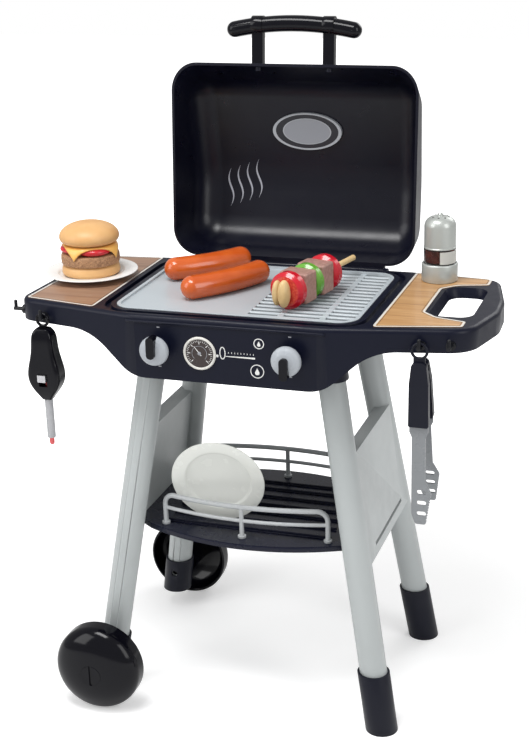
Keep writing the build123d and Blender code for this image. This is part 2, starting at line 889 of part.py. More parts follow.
def lid_form(inset):
    """The lid's outside, or its inside when moved in by inset, as it lies closed."""
    plane = Plane(origin=(lid_half + overrun, lid_back, rim_height), x_dir=(0, -1, 0), z_dir=(-1, 0, 0))
    prism = extrude(plane * lid_section(inset), 2 * (lid_half + overrun))
    draft = tan(radians(lid_draft))
    low, high = -overrun, lid_crown_height + overrun
    half = lid_half - inset / cos(radians(lid_draft))
    wide, narrow = half - low * draft, half - high * draft
    floor, roof = rim_height + low, rim_height + high
    corners = [(-wide, floor, 0), (wide, floor, 0), (narrow, roof, 0), (-narrow, roof, 0)]
    sides = extrude(upright_face(corners, lid_back + overrun), lid_length + 2 * overrun)
    form = prism & sides
    bottom = min(e.center().Z for e in form.edges())
    edges = []
    for face in form.faces():
        if abs(face.normal_at().X) > cos(radians(2 * lid_draft)):
            edges += [e for e in face.edges() if e.center().Z > bottom + running_gap]
    form = fillet(edges, lid_corner_round - inset)
    if inset:
        return form
    reach = lid_length + 2 * overrun
    return form & block(-reach, reach, lid_back - reach, lid_back + overrun, rim_height, rim_height + reach)


def place_lid(shape):
    """A lid piece turned from closed to open about the hinge."""
    return shape.rotate(Axis((0, hinge_y, hinge_height), (1, 0, 0)), -lid_open)


def make_lid_shell():
    """The deep lid with the long barrel of its hinge behind it, closed."""
    shell = lid_form(0).cut(lid_form(lid_wall))
    web_top = rim_height + barrel_web
    web = block(-barrel_half, barrel_half, lid_back - lid_wall / 2, hinge_y, rim_height, web_top)
    arm_front, arm_back = hinge_y - hinge_radius / 2, hinge_y + hinge_radius * 0.8
    arm = block(-barrel_half, barrel_half, arm_front, arm_back, hinge_height, web_top)
    shell = joined([shell, hinge_rod(-barrel_half, barrel_half, hinge_radius), arm, web])
    for side in (-1, 1):
        start, end = side * (barrel_half - pin_hold), side * (barrel_half + overrun)
        shell = shell.cut(hinge_rod(start, end, hinge_pin_radius + running_gap))
    for x, y, z in handle_screw_places():
        shell = shell.cut(rod((x, y - overrun / 2, z), (x, y + overrun / 2, z), screw_radius + running_gap))
    return shell


def handle_screw_places():
    """Where the handle's screws pass the lid's front wall, closed."""
    front = lid_back - lid_length
    return [(side * handle_leg_x, front + lid_wall, rim_height + handle_height) for side in (-1, 1)]


def make_lid_handle():
    """The arched bar on two legs in front of the closed lid."""
    bar_y = lid_back - handle_reach
    height = rim_height + handle_height
    half = handle_half - handle_radius
    ends = [(-half, bar_y + handle_arch / 2, height), (half, bar_y + handle_arch / 2, height)]
    arc = Edge.make_three_point_arc(ends[0], (0, bar_y - handle_arch / 2, height), ends[1])
    bar = sweep(Plane(origin=ends[0], z_dir=arc.tangent_at(0)) * Circle(handle_radius), path=Wire([arc]))
    shapes = [bar] + [at(*end) * Sphere(handle_radius) for end in ends]
    for side in (-1, 1):
        x = side * handle_leg_x
        leg = block(
            x - handle_leg_width / 2,
            x + handle_leg_width / 2,
            bar_y,
            lid_back - lid_length + lid_nose_round,
            height - handle_leg_thick / 2,
            height + handle_leg_thick / 2,
        )
        collar = rod(
            (x - handle_leg_width / 2, bar_y - handle_arch / 4, height),
            (x + handle_leg_width / 2, bar_y - handle_arch / 4, height),
            handle_radius + lid_wall / 3,
        )
        shapes += [leg, collar]
    handle = joined(shapes).cut(lid_form(0))
    for x, y, z in handle_screw_places():
        handle = handle.cut(rod((x, y + overrun / 2, z), (x, y - screw_length, z), screw_radius))
    return handle


def front_slope():
    """The front wall's place at the handle's height and its lean, closed."""
    return lid_front_lean * handle_height / lid_front_height, atan(lid_front_lean / lid_front_height)


def make_handle_screws():
    """Two screws from inside the lid's front wall into the handle's legs, closed."""
    shift, _ = front_slope()
    inside = lid_form(lid_wall)
    screws = []
    for x, y, z in handle_screw_places():
        wall_y = lid_back - lid_length + shift + lid_wall
        shank = rod((x, wall_y + lid_wall, z), (x, y - screw_length * 0.6, z), screw_radius)
        head = rod((x, wall_y - lid_wall, z), (x, wall_y + lid_wall, z), screw_head_radius) & inside
        screws.append(joined([shank, head]))
    return Compound(children=[Solid(s.solids()[0].wrapped) for s in screws])


def crown_slope():
    """The lid top's slope towards the front, and the inner face's height at the badge, closed."""
    run = lid_length - lid_front_lean - lid_crown
    drop = lid_crown_height - lid_front_height
    slope = atan(drop / run)
    height = lid_crown_height - lid_wall / cos(slope) - drop * (badge_reach - lid_crown) / run
    return slope, height


def make_lid_badge():
    """A bare oval plate under the lid's top, closed."""
    slope, height = crown_slope()
    normal = Vector(0, -sin(slope), cos(slope))
    origin = Vector(0, lid_back - badge_reach, rim_height + height)
    plane = Plane(origin=origin, x_dir=(1, 0, 0), z_dir=normal * -1)
    plate = extrude(plane * Ellipse(badge_half_long, badge_half_short), badge_thick + lid_wall)
    return plate.cut(lid_shell_block())


def lid_shell_block():
    """The lid's wall alone, without hinges."""
    return lid_form(0).cut(lid_form(lid_wall))


def make_hinge_pins():
    """The stub pins at the two ends of the lid's hinge."""
    pins = []
    for side in (-1, 1):
        start, end = side * (barrel_half - pin_hold), side * barrel_reach
        pins.append(hinge_rod(start, end, hinge_pin_radius))
    return Compound(children=[Solid(p.solids()[0].wrapped) for p in pins])


def make_knob_disc(side):
    """A domed disc with its shaft, which passes the panel."""
    dome = [(0, 0), (knob_radius, 0), (knob_radius, knob_rim)]
    steps = 5
    for n in range(1, steps):
        turn = pi / 2 * n / steps
        dome.append((knob_radius * cos(turn), knob_rim + knob_dome * sin(turn)))
    dome.append((0, knob_rim + knob_dome))
    disc = turned(dome)
    plane = Plane(origin=(side * knob_x, -knob_back, knob_height), x_dir=(1, 0, 0), z_dir=(0, -1, 0))
    shaft = knob_rod(side, shaft_radius, knob_back + knob_rim / 2, apron_front - shaft_length)
    return joined([plane.location * disc, shaft])


def make_knob_grip(side, disc):
    """The lever on a knob: it points up on the left knob and down on the right one."""
    way = 1 if side < 0 else -1
    front = knob_back + knob_rim + knob_dome + grip_proud / 2
    half = grip_width / 2
    x = side * knob_x
    corners = [
        (x - half, knob_height - way * grip_short, half * 0.9),
        (x + half, knob_height - way * grip_short, half * 0.9),
        (x + half, knob_height + way * grip_long, half * 0.9),
        (x - half, knob_height + way * grip_long, half * 0.9),
    ]
    if way < 0:
        corners.reverse()
    plane = Plane(origin=(0, -front, 0), x_dir=(1, 0, 0), z_dir=(0, 1, 0))
    flipped = [(px, -pz, radius) for px, pz, radius in reversed(corners)]
    lever = extrude(plane * corner_face(flipped), front - knob_back - knob_rim / 2)
    return lever.cut(disc)


def make_click_wheel(side):
    """The toothed wheel on a knob's shaft behind the panel."""
    back = apron_front - wall - click_set_back
    wheel = knob_rod(side, click_radius, back + click_thick, back)
    for n in range(click_teeth):
        turn = 2 * pi * n / click_teeth
        x = side * knob_x + click_radius * cos(turn)
        z = knob_height + click_radius * sin(turn)
        wheel = wheel.cut(rod((x, -back + overrun / 8, z), (x, -back - overrun / 4, z), click_notch))
    return wheel.cut(knob_rod(side, shaft_radius + running_gap / 2, apron_front, back - click_thick))


def make_click_pawls():
    """Two tongues fixed behind the panel, each just under its toothed wheel."""
    pawls = []
    back = apron_front - wall - click_set_back
    for side in (-1, 1):
        x = side * knob_x
        tip = knob_height - click_radius - pawl_gap
        tongue = block(x - pawl_width / 2, x + pawl_width / 2, -back - click_thick, -back, tip - pawl_foot, tip)
        foot = block(x - pawl_width * 1.5, x + pawl_width * 1.5, -apron_front + wall, -back, tip - pawl_foot - pawl_thick, tip - pawl_foot)
        pawls.append(joined([tongue, foot]))
    return Compound(children=[Solid(p.solids()[0].wrapped) for p in pawls])


def make_hook(base, out, table):
    """A peg with a turned-up tip, standing on the skirt at base and pointing out."""
    base, out = Vector(*base), Vector(*out)
    end = base + out * hook_length
    peg = rod(base - out * wall, end, hook_radius)
    foot = end - out * hook_radius
    tip = rod(foot, foot + Vector(0, 0, hook_tip + hook_tip_radius), hook_tip_radius)
    crown = max(tip.edges(), key=lambda e: e.center().Z)
    tip = fillet(crown, hook_tip_radius * 0.8)
    plate = rod(base - out * wall, base + out * (wall / 2), hook_base_radius)
    return joined([peg, tip, plate]).cut(table)


def hook_places():
    """Each hook's place on the skirt and the way that it points."""
    front = (0, -1, 0)
    return [
        ((-left_reach + label_thick * 4, -end_hook_y, hook_height), (-1, 0, 0)),
        ((-probe_hook_x, skirt_y(-probe_hook_x), hook_height), front),
        ((inner_hook_x, skirt_y(inner_hook_x), hook_height), front),
        ((outer_hook_x, skirt_y(outer_hook_x), hook_height), front),
    ]


def ring_reach(wire):
    """How far before the skirt a hanging ring stands, just behind the hook's tip."""
    return hook_length - hook_radius - hook_tip_radius - wire - slip_gap


def make_utensil_hooks():
    """The four hooks on the wings' skirt."""
    table = plan_prism(0, skirt_bottom, top_height)
    hooks = [make_hook(base, out, table) for base, out in hook_places()]
    return Compound(children=[Solid(h.solids()[0].wrapped) for h in hooks])


def dish_form(radius):
    """A round dish: a flat floor, a foot ring and a raised rim."""
    share = radius / dish_radius
    foot, floor = dish_foot_radius * share, dish_floor_radius * share
    return turned(
        [
            (0, dish_wall / 2),
            (foot - dish_wall, dish_wall / 2),
            (foot - dish_wall, 0),
            (foot, 0),
            (floor + dish_wall, dish_height - dish_wall * 2),
            (radius, dish_height - dish_wall / 2),
            (radius, dish_height),
            (radius - dish_wall, dish_height),
            (floor, dish_height - dish_wall),
            (foot, dish_wall * 1.5),
            (0, dish_wall * 1.5),
        ]
    )


def make_serving_dish():
    """The dish under the burger, on the left wing."""
    return at(-dish_x, dish_y, label_top + seat_gap) * dish_form(dish_radius)


def make_dinner_plate():
    """The plate that stands on its edge behind the front rail."""
    plate = dish_form(dinner_radius).rotate(Axis.X, 90 + dinner_lean).rotate(Axis.Z, dinner_turn)
    box = plate.bounding_box()
    return at(-dinner_x, -dinner_y, shelf_top + seat_gap - box.min.Z) * plate


def burger_floor():
    """The height of the dish's floor that the burger stands on."""
    return label_top + seat_gap + dish_wall * 1.5 + seat_gap


def make_bottom_bun():
    """A low round bun."""
    edge = bun_edge / 2
    form = turned(
        [(0, 0), (bun_radius - edge * 2, 0), (bun_radius, edge), (bun_radius, bottom_bun - edge), (bun_radius - edge, bottom_bun), (0, bottom_bun)]
    )
    return at(-dish_x, dish_y, burger_floor()) * form


def make_patty():
    """The meat, fluted round its edge."""
    points = []
    steps = patty_flutes * 2
    for n in range(steps):
        turn = 2 * pi * n / steps
        radius = patty_radius - (patty_flute if n % 2 else 0)
        points.append((radius * cos(turn), radius * sin(turn)))
    low = burger_floor() + bottom_bun
    return at(-dish_x, dish_y, low) * extrude(make_face(Polyline(*points, close=True)), patty)


def make_burger_tomato():
    """A tomato slice with a rounded edge."""
    low = burger_floor() + bottom_bun + patty
    edge = tomato / 3
    form = turned(
        [(0, 0), (tomato_radius - edge, 0), (tomato_radius, edge), (tomato_radius, tomato - edge), (tomato_radius - edge, tomato), (0, tomato)]
    )
    return at(-dish_x, dish_y, low) * form


def make_cheese():
    """A thin square slice with its corners drooping over the tomato."""
    low = burger_floor() + bottom_bun + patty + tomato
    slab = extrude(corner_face([(-cheese_half, -cheese_half, 0), (cheese_half, -cheese_half, 0), (cheese_half, cheese_half, 0), (-cheese_half, cheese_half, 0)]), cheese)
    return at(-dish_x, dish_y, low) * slab.rotate(Axis.Z, 30)


def make_top_bun():
    """The domed upper half of the bun."""
    low = burger_floor() + bottom_bun + patty + tomato + cheese
    profile = [(0, 0), (bun_radius - bun_edge / 2, 0), (bun_radius, bun_edge / 2)]
    steps = 7
    for n in range(1, steps):
        turn = pi / 2 * n / steps
        profile.append((bun_radius * cos(turn) ** 0.75, bun_edge / 2 + (top_bun - bun_edge / 2) * sin(turn)))
    profile.append((0, top_bun))
    return at(-dish_x, dish_y, low) * turned(profile)


def make_sausage(start, end, bow):
    """A slightly curved sausage with round ends, lying on the griddle."""
    height = griddle_top + seat_gap + sausage_radius
    run = Vector(end[0] - start[0], end[1] - start[1], 0)
    along = run.normalized()
    across = Vector(-along.Y, along.X, 0)
    a = Vector(start[0], start[1], height) + along * sausage_radius
    b = Vector(end[0], end[1], height) - along * sausage_radius
    arc = Edge.make_three_point_arc(a, (a + b) * 0.5 + across * bow, b)
    body = sweep(Plane(origin=a, z_dir=arc.tangent_at(0)) * Circle(sausage_radius), path=Wire([arc]))
    return joined([body, Location(tuple(a)) * Sphere(sausage_radius), Location(tuple(b)) * Sphere(sausage_radius)])


def kebab_place():
    """Turns a shape made along Z from the kebab's front into its place on the bars."""
    turn = radians(kebab_turn)
    height = bar_top + seat_gap + tomato_slice_radius
    return Plane(origin=(kebab_front_x, kebab_front_y, height), x_dir=(cos(turn), -sin(turn), 0), z_dir=(sin(turn), cos(turn), 0)).location


def kebab_starts():
    """Where each bite begins along the stick: mushroom, slice, meat, pepper, meat, slice."""
    places, z = [], 0.0
    for length in (mushroom_long, tomato_slice, meat_long, pepper_long, meat_long, tomato_slice):
        places.append(z)
        z += length + kebab_gap
    return places


def round_slice(radius, length):
    """A round slice with a soft edge, bored for the stick."""
    edge = length / 4
    form = turned([(0, 0), (radius - edge, 0), (radius, edge), (radius, length - edge), (radius - edge, length), (0, length)])
    return form.cut(extrude(at(0, 0, -overrun) * Circle(stick_radius + running_gap), length + 2 * overrun))


def make_kebab_mushroom():
    """A bean-shaped bite at the kebab's front."""
    halves = []
    for side in (-1, 1):
        halves.append(at(side * mushroom_half * 0.4, 0, mushroom_long / 2) * Sphere(mushroom_radius))
    slab = block(-mushroom_half, mushroom_half, -mushroom_radius, mushroom_radius, 0, mushroom_long)
    form = joined(halves) & slab
    return kebab_place() * form.cut(extrude(at(0, 0, stick_start) * Circle(stick_radius + running_gap), overrun))


def make_kebab_tomatoes():
    """The two red slices."""
    starts = kebab_starts()
    slices = [kebab_place() * at(0, 0, starts[n]) * round_slice(tomato_slice_radius, tomato_slice) for n in (1, 5)]
    return Compound(children=[Solid(s.solids()[0].wrapped) for s in slices])


def make_kebab_pepper():
    """The green slice."""
    return kebab_place() * at(0, 0, kebab_starts()[3]) * round_slice(pepper_radius, pepper_long)


def make_kebab_meat():
    """The two blocks of meat."""
    blocks = []
    for n in (2, 4):
        cube = at(0, 0, meat_long / 2) * Box(2 * meat_half, 2 * meat_half, meat_long)
        cube = fillet(cube.edges(), meat_half / 6)
        cube = cube.cut(extrude(at(0, 0, -overrun) * Circle(stick_radius + running_gap), meat_long + 2 * overrun))
        blocks.append(kebab_place() * at(0, 0, kebab_starts()[n]) * cube)
    return Compound(children=[Solid(b.solids()[0].wrapped) for b in blocks])


def make_skewer_stick():
    """The wooden stick through the bites."""
    return kebab_place() * extrude(at(0, 0, stick_start) * Circle(stick_radius), stick_length - stick_start)


def mill_at(shape):
    """A piece of the mill moved from its own base to its place on the right wing."""
    return at(mill_x, mill_y, label_top + seat_gap) * shape


def make_mill_base():
    """The mill's lower body."""
    base = extrude(Circle(mill_radius), mill_base)
    base = fillet(base.edges(), mill_window_wall / 2)
    spigot = extrude(at(0, 0, mill_base - wall) * Circle(mill_window_radius - mill_window_wall - slip_gap), wall * 1.5)
    return mill_at(joined([base, spigot]))


def make_mill_window():
    """The clear band round the peppercorns."""
    outer = extrude(at(0, 0, mill_base) * Circle(mill_window_radius), mill_window)
    return mill_at(outer.cut(extrude(at(0, 0, 0) * Circle(mill_window_radius - mill_window_wall), mill_base + mill_window + overrun)))


def make_mill_peppercorns():
    """The filling seen through the window."""
    low = mill_base + wall / 2 + seat_gap
    return mill_at(extrude(at(0, 0, low) * Circle(mill_window_radius - mill_window_wall - slip_gap), mill_window - wall))


def make_mill_cap():
    """The tapered top that turns, with a ring of holes and a small knob."""
    low = mill_base + mill_window + seat_gap
    shoulder = mill_cap - mill_knob
    profile = [(0, 0), (mill_window_radius, 0)]
    steps = 5
    for n in range(steps):
        turn = pi / 2 * n / steps
        out = mill_window_radius * 0.97 - mill_cap_round * (1 - cos(turn))
        profile.append((out, shoulder - mill_cap_round * (1 - sin(turn))))
    profile += [(mill_window_radius * 0.97 - mill_cap_round, shoulder), (mill_knob_radius, shoulder)]
    profile += [(mill_knob_radius, mill_cap - mill_knob_radius / 3), (mill_knob_radius * 0.7, mill_cap), (0, mill_cap)]
    cap = turned(profile)
    for n in range(mill_hole_count):
        turn = 2 * pi * n / mill_hole_count
        ring = mill_window_radius / 2
        place = at(ring * cos(turn), ring * sin(turn), shoulder * 0.8)
        cap = cap.cut(extrude(place * Circle(mill_hole_radius), overrun))
    return mill_at(at(0, 0, low) * cap)


tongs_x = inner_hook_x
tongs_y = skirt_y(inner_hook_x) - ring_reach(tongs_wire)
ring_centre = hook_height + hook_radius + seat_gap - tongs_ring
tongs_top = ring_centre - tongs_ring - tongs_wire * 2 - tongs_neck / 3
pivot_y = tongs_y + grip_thick / 2 + tongs_spread / 2
pivot_height = tongs_top - tongs_pivot


def upright_ring(x, y, z, radius, wire):
    """A ring that faces the front."""
    plane = Plane(origin=(x, y, z), x_dir=(1, 0, 0), z_dir=(0, -1, 0))
    return plane.location * Torus(radius + wire, wire)


def arm_form(front, back):
    """One arm of the tongs hanging straight down: strip and slotted head, between two depths."""
    low_grip = tongs_top - grip_length
    low_arm = low_grip - arm_length
    low_head = low_arm - head_length
    inner = grip_half * 0.6
    collar = grip_half * 0.92
    neck = low_grip - arm_collar
    corners = [
        (-inner, low_grip + grip_length / 3, 0),
        (-inner, low_grip, 0),
        (-collar, low_grip, 0),
        (-collar, neck, 0),
        (-arm_half, neck - arm_collar, 0),
        (-arm_half, low_head + head_end * 2, head_end * 2),
        (-head_end / 2, low_head, head_end / 2),
        (head_end * 1.5, low_head, head_end / 2),
        (head_bulge, low_arm - head_end * 2, head_end),
        (arm_half, low_arm + head_end / 2, 0),
        (arm_half, neck - arm_collar, 0),
        (collar, neck, 0),
        (collar, low_grip, 0),
        (inner, low_grip, 0),
        (inner, low_grip + grip_length / 3, 0),
    ]
    plane = Plane(origin=(tongs_x, back, 0), x_dir=(1, 0, 0), z_dir=(0, -1, 0))
    arm = extrude(plane * corner_face(corners), back - front)
    half = head_slot_long / 2
    for n in range(head_slots):
        z = low_head + head_slot_pitch * (n + 1)
        low, high, radius = z - head_slot / 2, z + head_slot / 2, head_slot * 0.45
        left, right = head_slot_shift - half, head_slot_shift + half
        hole = [(left, low, radius), (right, low, radius), (right, high, radius), (left, high, radius)]
        arm = arm.cut(extrude(plane * corner_face(hole), back - front))
    top_z, low_z = low_arm - head_end * 3, low_head + head_end
    edge_lean = (head_bulge - head_end * 1.5) / (low_arm - head_end * 2 - low_head)
    for n in range(tooth_count):
        z = low_z + (top_z - low_z) * n / (tooth_count - 1)
        x = tongs_x + head_end * 1.5 + edge_lean * (z - low_head)
        arm = arm.cut(rod((x, front - overrun, z), (x, back + overrun, z), tooth / 2))
    return arm


def grip_form(front, back):
    """A black grip round the top of one arm."""
    low = tongs_top - grip_length
    shoulder = tongs_top - grip_length / 3
    corners = [
        (-grip_half, low, grip_half * 0.2),
        (grip_half, low, grip_half * 0.2),
        (grip_half * 0.95, shoulder, grip_length / 3),
        (grip_half * 0.7, tongs_top, grip_half * 0.5),
        (-grip_half * 0.7, tongs_top, grip_half * 0.5),
        (-grip_half * 0.95, shoulder, grip_length / 3),
    ]
    plane = Plane(origin=(tongs_x, back, 0), x_dir=(1, 0, 0), z_dir=(0, -1, 0))
    return extrude(plane * corner_face(corners), back - front)


def tongs_depths(which):
    """Front and back of an arm's strip and of its grip when the tongs are shut."""
    if which == "front":
        grip = (tongs_y - grip_thick / 2, tongs_y + grip_thick / 2)
    else:
        near = tongs_y + grip_thick / 2 + tongs_spread
        grip = (near, near + grip_thick)
    middle = (grip[0] + grip[1]) / 2
    return (middle - arm_thick / 2, middle + arm_thick / 2), grip


def ear_places():
    """X ranges of the pivot ears: the outer pair is the front arm's, the inner one the rear arm's."""
    inner = hinge_ear / 2
    outer = inner + slip_gap
    return (-inner, inner), ((-outer - hinge_ear, -outer), (outer, outer + hinge_ear))


def pivot_rod(low, high, radius):
    """A rod along the tongs' pivot between two distances from its middle."""
    return rod((tongs_x + low, pivot_y, pivot_height), (tongs_x + high, pivot_y, pivot_height), radius)


def pivot_space(low, high, grow):
    """The space of a pivot ear, out to the far side of both grips."""
    return pivot_rod(low - grow, high + grow, hinge_ear + grow)


def make_front_tongs():
    """The hanging arm: its strip, and its grip with the ring and the two outer ears."""
    strip, grip = tongs_depths("front")
    arm = arm_form(*strip)
    inner, outers = ear_places()
    handle = joined([grip_form(*grip), upright_ring(tongs_x, tongs_y, ring_centre, tongs_ring, tongs_wire)])
    neck_top = ring_centre - tongs_ring - tongs_wire / 2
    neck = block(
        tongs_x - tongs_neck,
        tongs_x + tongs_neck,
        tongs_y - tongs_wire * 0.8,
        tongs_y + tongs_wire * 0.8,
        tongs_top - tongs_neck,
        neck_top,
    )
    handle = joined([handle, neck])
    handle = handle.cut(pivot_space(*inner, slip_gap))
    for low, high in outers:
        handle = joined([handle, pivot_rod(low, high, hinge_ear)])
    handle = handle.cut(pivot_rod(-grip_half * 2, grip_half * 2, tongs_pin_radius + running_gap))
    return arm.cut(handle), handle.cut(arm)


def make_rear_tongs():
    """The opening arm, shut. Its grip's top is cut back so that it can swing open as far as the front grip."""
    strip, grip = tongs_depths("rear")
    arm = arm_form(*strip)
    inner, outers = ear_places()
    handle = grip_form(*grip)
    clear = pivot_rod(-grip_half * 2, grip_half * 2, hinge_ear + slip_gap)
    front_back = tongs_y + grip_thick / 2 + slip_gap
    reach = grip_half * 2
    low = tongs_top - grip_length
    stop = block(tongs_x - reach, tongs_x + reach, front_back - overrun, front_back, low, tongs_top + overrun)
    stop = stop.rotate(Axis((tongs_x, pivot_y, pivot_height), (1, 0, 0)), -tongs_open)
    handle = handle.cut(clear, stop)
    low, high = inner
    ear = pivot_rod(low, high, hinge_ear)
    left, right = tongs_x + low, tongs_x + high
    arm_block = block(left, right, pivot_y, grip[0] + hinge_ear, pivot_height - hinge_ear, pivot_height)
    handle = joined([handle, ear, arm_block])
    handle = handle.cut(pivot_rod(-grip_half * 2, grip_half * 2, tongs_pin_radius + running_gap))
    return arm.cut(handle), handle.cut(arm)


def open_tongs(shape):
    """The rear arm swung open about the pivot."""
    return shape.rotate(Axis((tongs_x, pivot_y, pivot_height), (1, 0, 0)), tongs_open)


def make_tongs_pin():
    """The pivot pin, held in the front arm's ears."""
    _, outers = ear_places()
    return pivot_rod(outers[0][0], outers[1][1], tongs_pin_radius)


# Sections of the probe's handle: shares of its length down, of its half width and of its thickness
probe_section_shares = (
    (0.0, 0.37, 0.62),
    (0.10, 0.64, 0.82),
    (0.45, 0.86, 0.95),
    (0.70, 1.0, 1.0),
    (0.86, 0.72, 0.86),
    (1.0, 0.30, 0.50),
)
probe_corner_share = 0.45

probe_x = -probe_hook_x
probe_y = skirt_y(-probe_hook_x) - ring_reach(probe_wire)
probe_ring_centre = hook_height + hook_radius + seat_gap - probe_ring
probe_top = probe_ring_centre - probe_ring - probe_wire * 2.6
probe_bottom = probe_top - probe_length


def make_probe_handle():
    """The drop-shaped handle with its ring, a channel for the rod and a window for the button."""
    sections = []
    for down, wide, deep in probe_section_shares:
        half, thick = probe_belly_half * wide, probe_thick * deep / 2
        radius = min(half, thick) * probe_corner_share
        corners = [(-half, -thick, radius), (half, -thick, radius), (half, thick, radius), (-half, thick, radius)]
        sections.append(at(probe_x, probe_y, probe_top - probe_length * down) * corner_face(corners))
    form = loft(sections)
    ring = upright_ring(probe_x, probe_y, probe_ring_centre, probe_ring, probe_wire)
    neck = block(
        probe_x - probe_neck,
        probe_x + probe_neck,
        probe_y - probe_wire * 0.8,
        probe_y + probe_wire * 0.8,
        probe_top - probe_neck,
        probe_ring_centre - probe_ring - probe_wire / 2,
    )
    form = joined([form, ring, neck])
    middle = button_height_mid()
    channel = probe_rod(middle + button_height, probe_bottom - overrun, rod_radius + 2 * running_gap)
    front = probe_y - probe_thick / 2
    half = button_width / 2 + slip_gap
    low, high = middle - button_height / 2 - button_travel - slip_gap, middle + button_height / 2 + slip_gap
    window = block(probe_x - half, probe_x + half, front - overrun, probe_y, low, high)
    return form.cut(channel, window)


def probe_rod(high, low, radius):
    """A rod along the probe's axis between two heights."""
    return rod((probe_x, probe_y, high), (probe_x, probe_y, low), radius)


def button_height_mid():
    """The height of the button's middle at rest."""
    return probe_top - probe_length * button_share


def make_probe_shaft():
    """The grey tube below the handle."""
    low = probe_bottom - probe_shaft_length
    tube = probe_rod(probe_bottom, low, shaft_tube)
    return tube.cut(probe_rod(probe_bottom + overrun, low - overrun, rod_radius + 2 * running_gap))


def make_probe_tip():
    """The red tip on its rod, which the button pushes out."""
    low = probe_bottom - probe_shaft_length - tip_length + rod_radius
    stem = probe_rod(button_height_mid() + button_height / 2 - seat_gap, low, rod_radius)
    return joined([stem, at(probe_x, probe_y, low) * Sphere(rod_radius)])


def make_probe_button():
    """The silver push button on the rod."""
    front = probe_y - probe_thick / 2 - button_proud
    middle = button_height_mid()
    low, high = middle - button_height / 2, middle + button_height / 2
    button = block(probe_x - button_width / 2, probe_x + button_width / 2, front, probe_y - seat_gap, low, high)
    return button.cut(probe_rod(middle + overrun, middle - overrun, rod_radius))


def build():
    """All pieces by name, in the grill's own axes."""
    nodes = {}
    nodes["table_top"] = make_table_top()
    nodes["grill_plate"] = make_grill_plate()
    nodes["right_wood_label"] = make_right_label()
    nodes["left_wood_label"] = make_left_label()
    nodes["gauge_dial"] = make_gauge_dial()
    for name, side in (("left", -1), ("right", 1)):
        nodes[f"{name}_leg_frame"] = make_leg_frame(side)
        nodes[f"front_{name}_foot"] = make_foot(side, -1)
        nodes[f"rear_{name}_foot"] = make_foot(side, 1)
        disc = make_knob_disc(side)
        nodes[f"{name}_knob_disc"] = disc
        nodes[f"{name}_knob_grip"] = make_knob_grip(side, disc)
        nodes[f"{name}_click_wheel"] = make_click_wheel(side)
    nodes["leg_sockets"] = make_leg_sockets()
    nodes["socket_screws"] = make_socket_screws()
    nodes["click_pawls"] = make_click_pawls()
    nodes["front_wheel"] = make_wheel(-1)
    nodes["rear_wheel"] = make_wheel(1)
    nodes["wheel_pins"] = make_wheel_pins()
    nodes["shelf"] = make_shelf()
    nodes["front_rail"] = make_rail(-1)
    nodes["rear_rail"] = make_rail(1)
    nodes["utensil_hooks"] = make_utensil_hooks()
    nodes["lid_shell"] = place_lid(make_lid_shell())
    nodes["lid_handle"] = place_lid(make_lid_handle())
    nodes["handle_screws"] = place_lid(make_handle_screws())
    nodes["lid_badge"] = place_lid(make_lid_badge())
    nodes["lid_hinge_pins"] = make_hinge_pins()
    nodes["serving_dish"] = make_serving_dish()
    nodes["dinner_plate"] = make_dinner_plate()
    nodes["burger_bottom_bun"] = make_bottom_bun()
    nodes["burger_patty"] = make_patty()
    nodes["burger_tomato"] = make_burger_tomato()
    nodes["burger_cheese"] = make_cheese()
    nodes["burger_top_bun"] = make_top_bun()
    nodes["front_sausage"] = make_sausage(front_sausage_from, front_sausage_to, -sausage_bow)
    nodes["rear_sausage"] = make_sausage(rear_sausage_from, rear_sausage_to, -sausage_bow)
    nodes["skewer_stick"] = make_skewer_stick()
    nodes["kebab_mushroom"] = make_kebab_mushroom()
    nodes["kebab_tomatoes"] = make_kebab_tomatoes()
    nodes["kebab_meat"] = make_kebab_meat()
    nodes["kebab_pepper"] = make_kebab_pepper()
    nodes["mill_base"] = make_mill_base()
    nodes["mill_window"] = make_mill_window()
    nodes["mill_peppercorns"] = make_mill_peppercorns()
    nodes["mill_cap"] = make_mill_cap()
    nodes["tongs_front_arm"], nodes["tongs_front_grip"] = make_front_tongs()
    rear_arm, rear_grip = make_rear_tongs()
    nodes["tongs_rear_arm"] = open_tongs(rear_arm)
    nodes["tongs_rear_grip"] = open_tongs(rear_grip)
    nodes["tongs_pin"] = make_tongs_pin()
    nodes["probe_handle"] = make_probe_handle()
    nodes["probe_shaft"] = make_probe_shaft()
    nodes["probe_tip"] = make_probe_tip()
    nodes["probe_button"] = make_probe_button()
    return nodes


def centred(nodes):
    """Moves all pieces so that the whole grill's box stands on the origin's middle, and gives the move."""
    boxes = [shape.bounding_box() for shape in nodes.values()]
    shift_x = -(min(b.min.X for b in boxes) + max(b.max.X for b in boxes)) / 2
    shift_y = -(min(b.min.Y for b in boxes) + max(b.max.Y for b in boxes)) / 2
    move = at(shift_x, shift_y, 0)
    return {name: move * shape for name, shape in nodes.items()}, (shift_x, shift_y)


pieces, shift = centred(build())
os.makedirs("parts", exist_ok=True)
for name, shape in pieces.items():
    export_step(shape, f"parts/{name}.step")
    print(name, len(shape.solids()), "solids", round(sum(s.volume for s in shape.solids())))
print("moved by", [round(v, 3) for v in shift], "pieces", len(pieces))
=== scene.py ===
# %% [markdown]
# # A toy barbecue grill
#
# The grill is already there as solids: this script loads them as a frame that stays as it is.
# It then gives every solid a finish, and replaces the burger, the mushroom, the dishes, the mill, the gauge and
# the wheels by surfaces worked out with numpy: these are rounded all over, and the eye is quick to see a facet.

# %% Load the solids
import math
import bpy
import numpy as np
from mathutils import Matrix, Vector


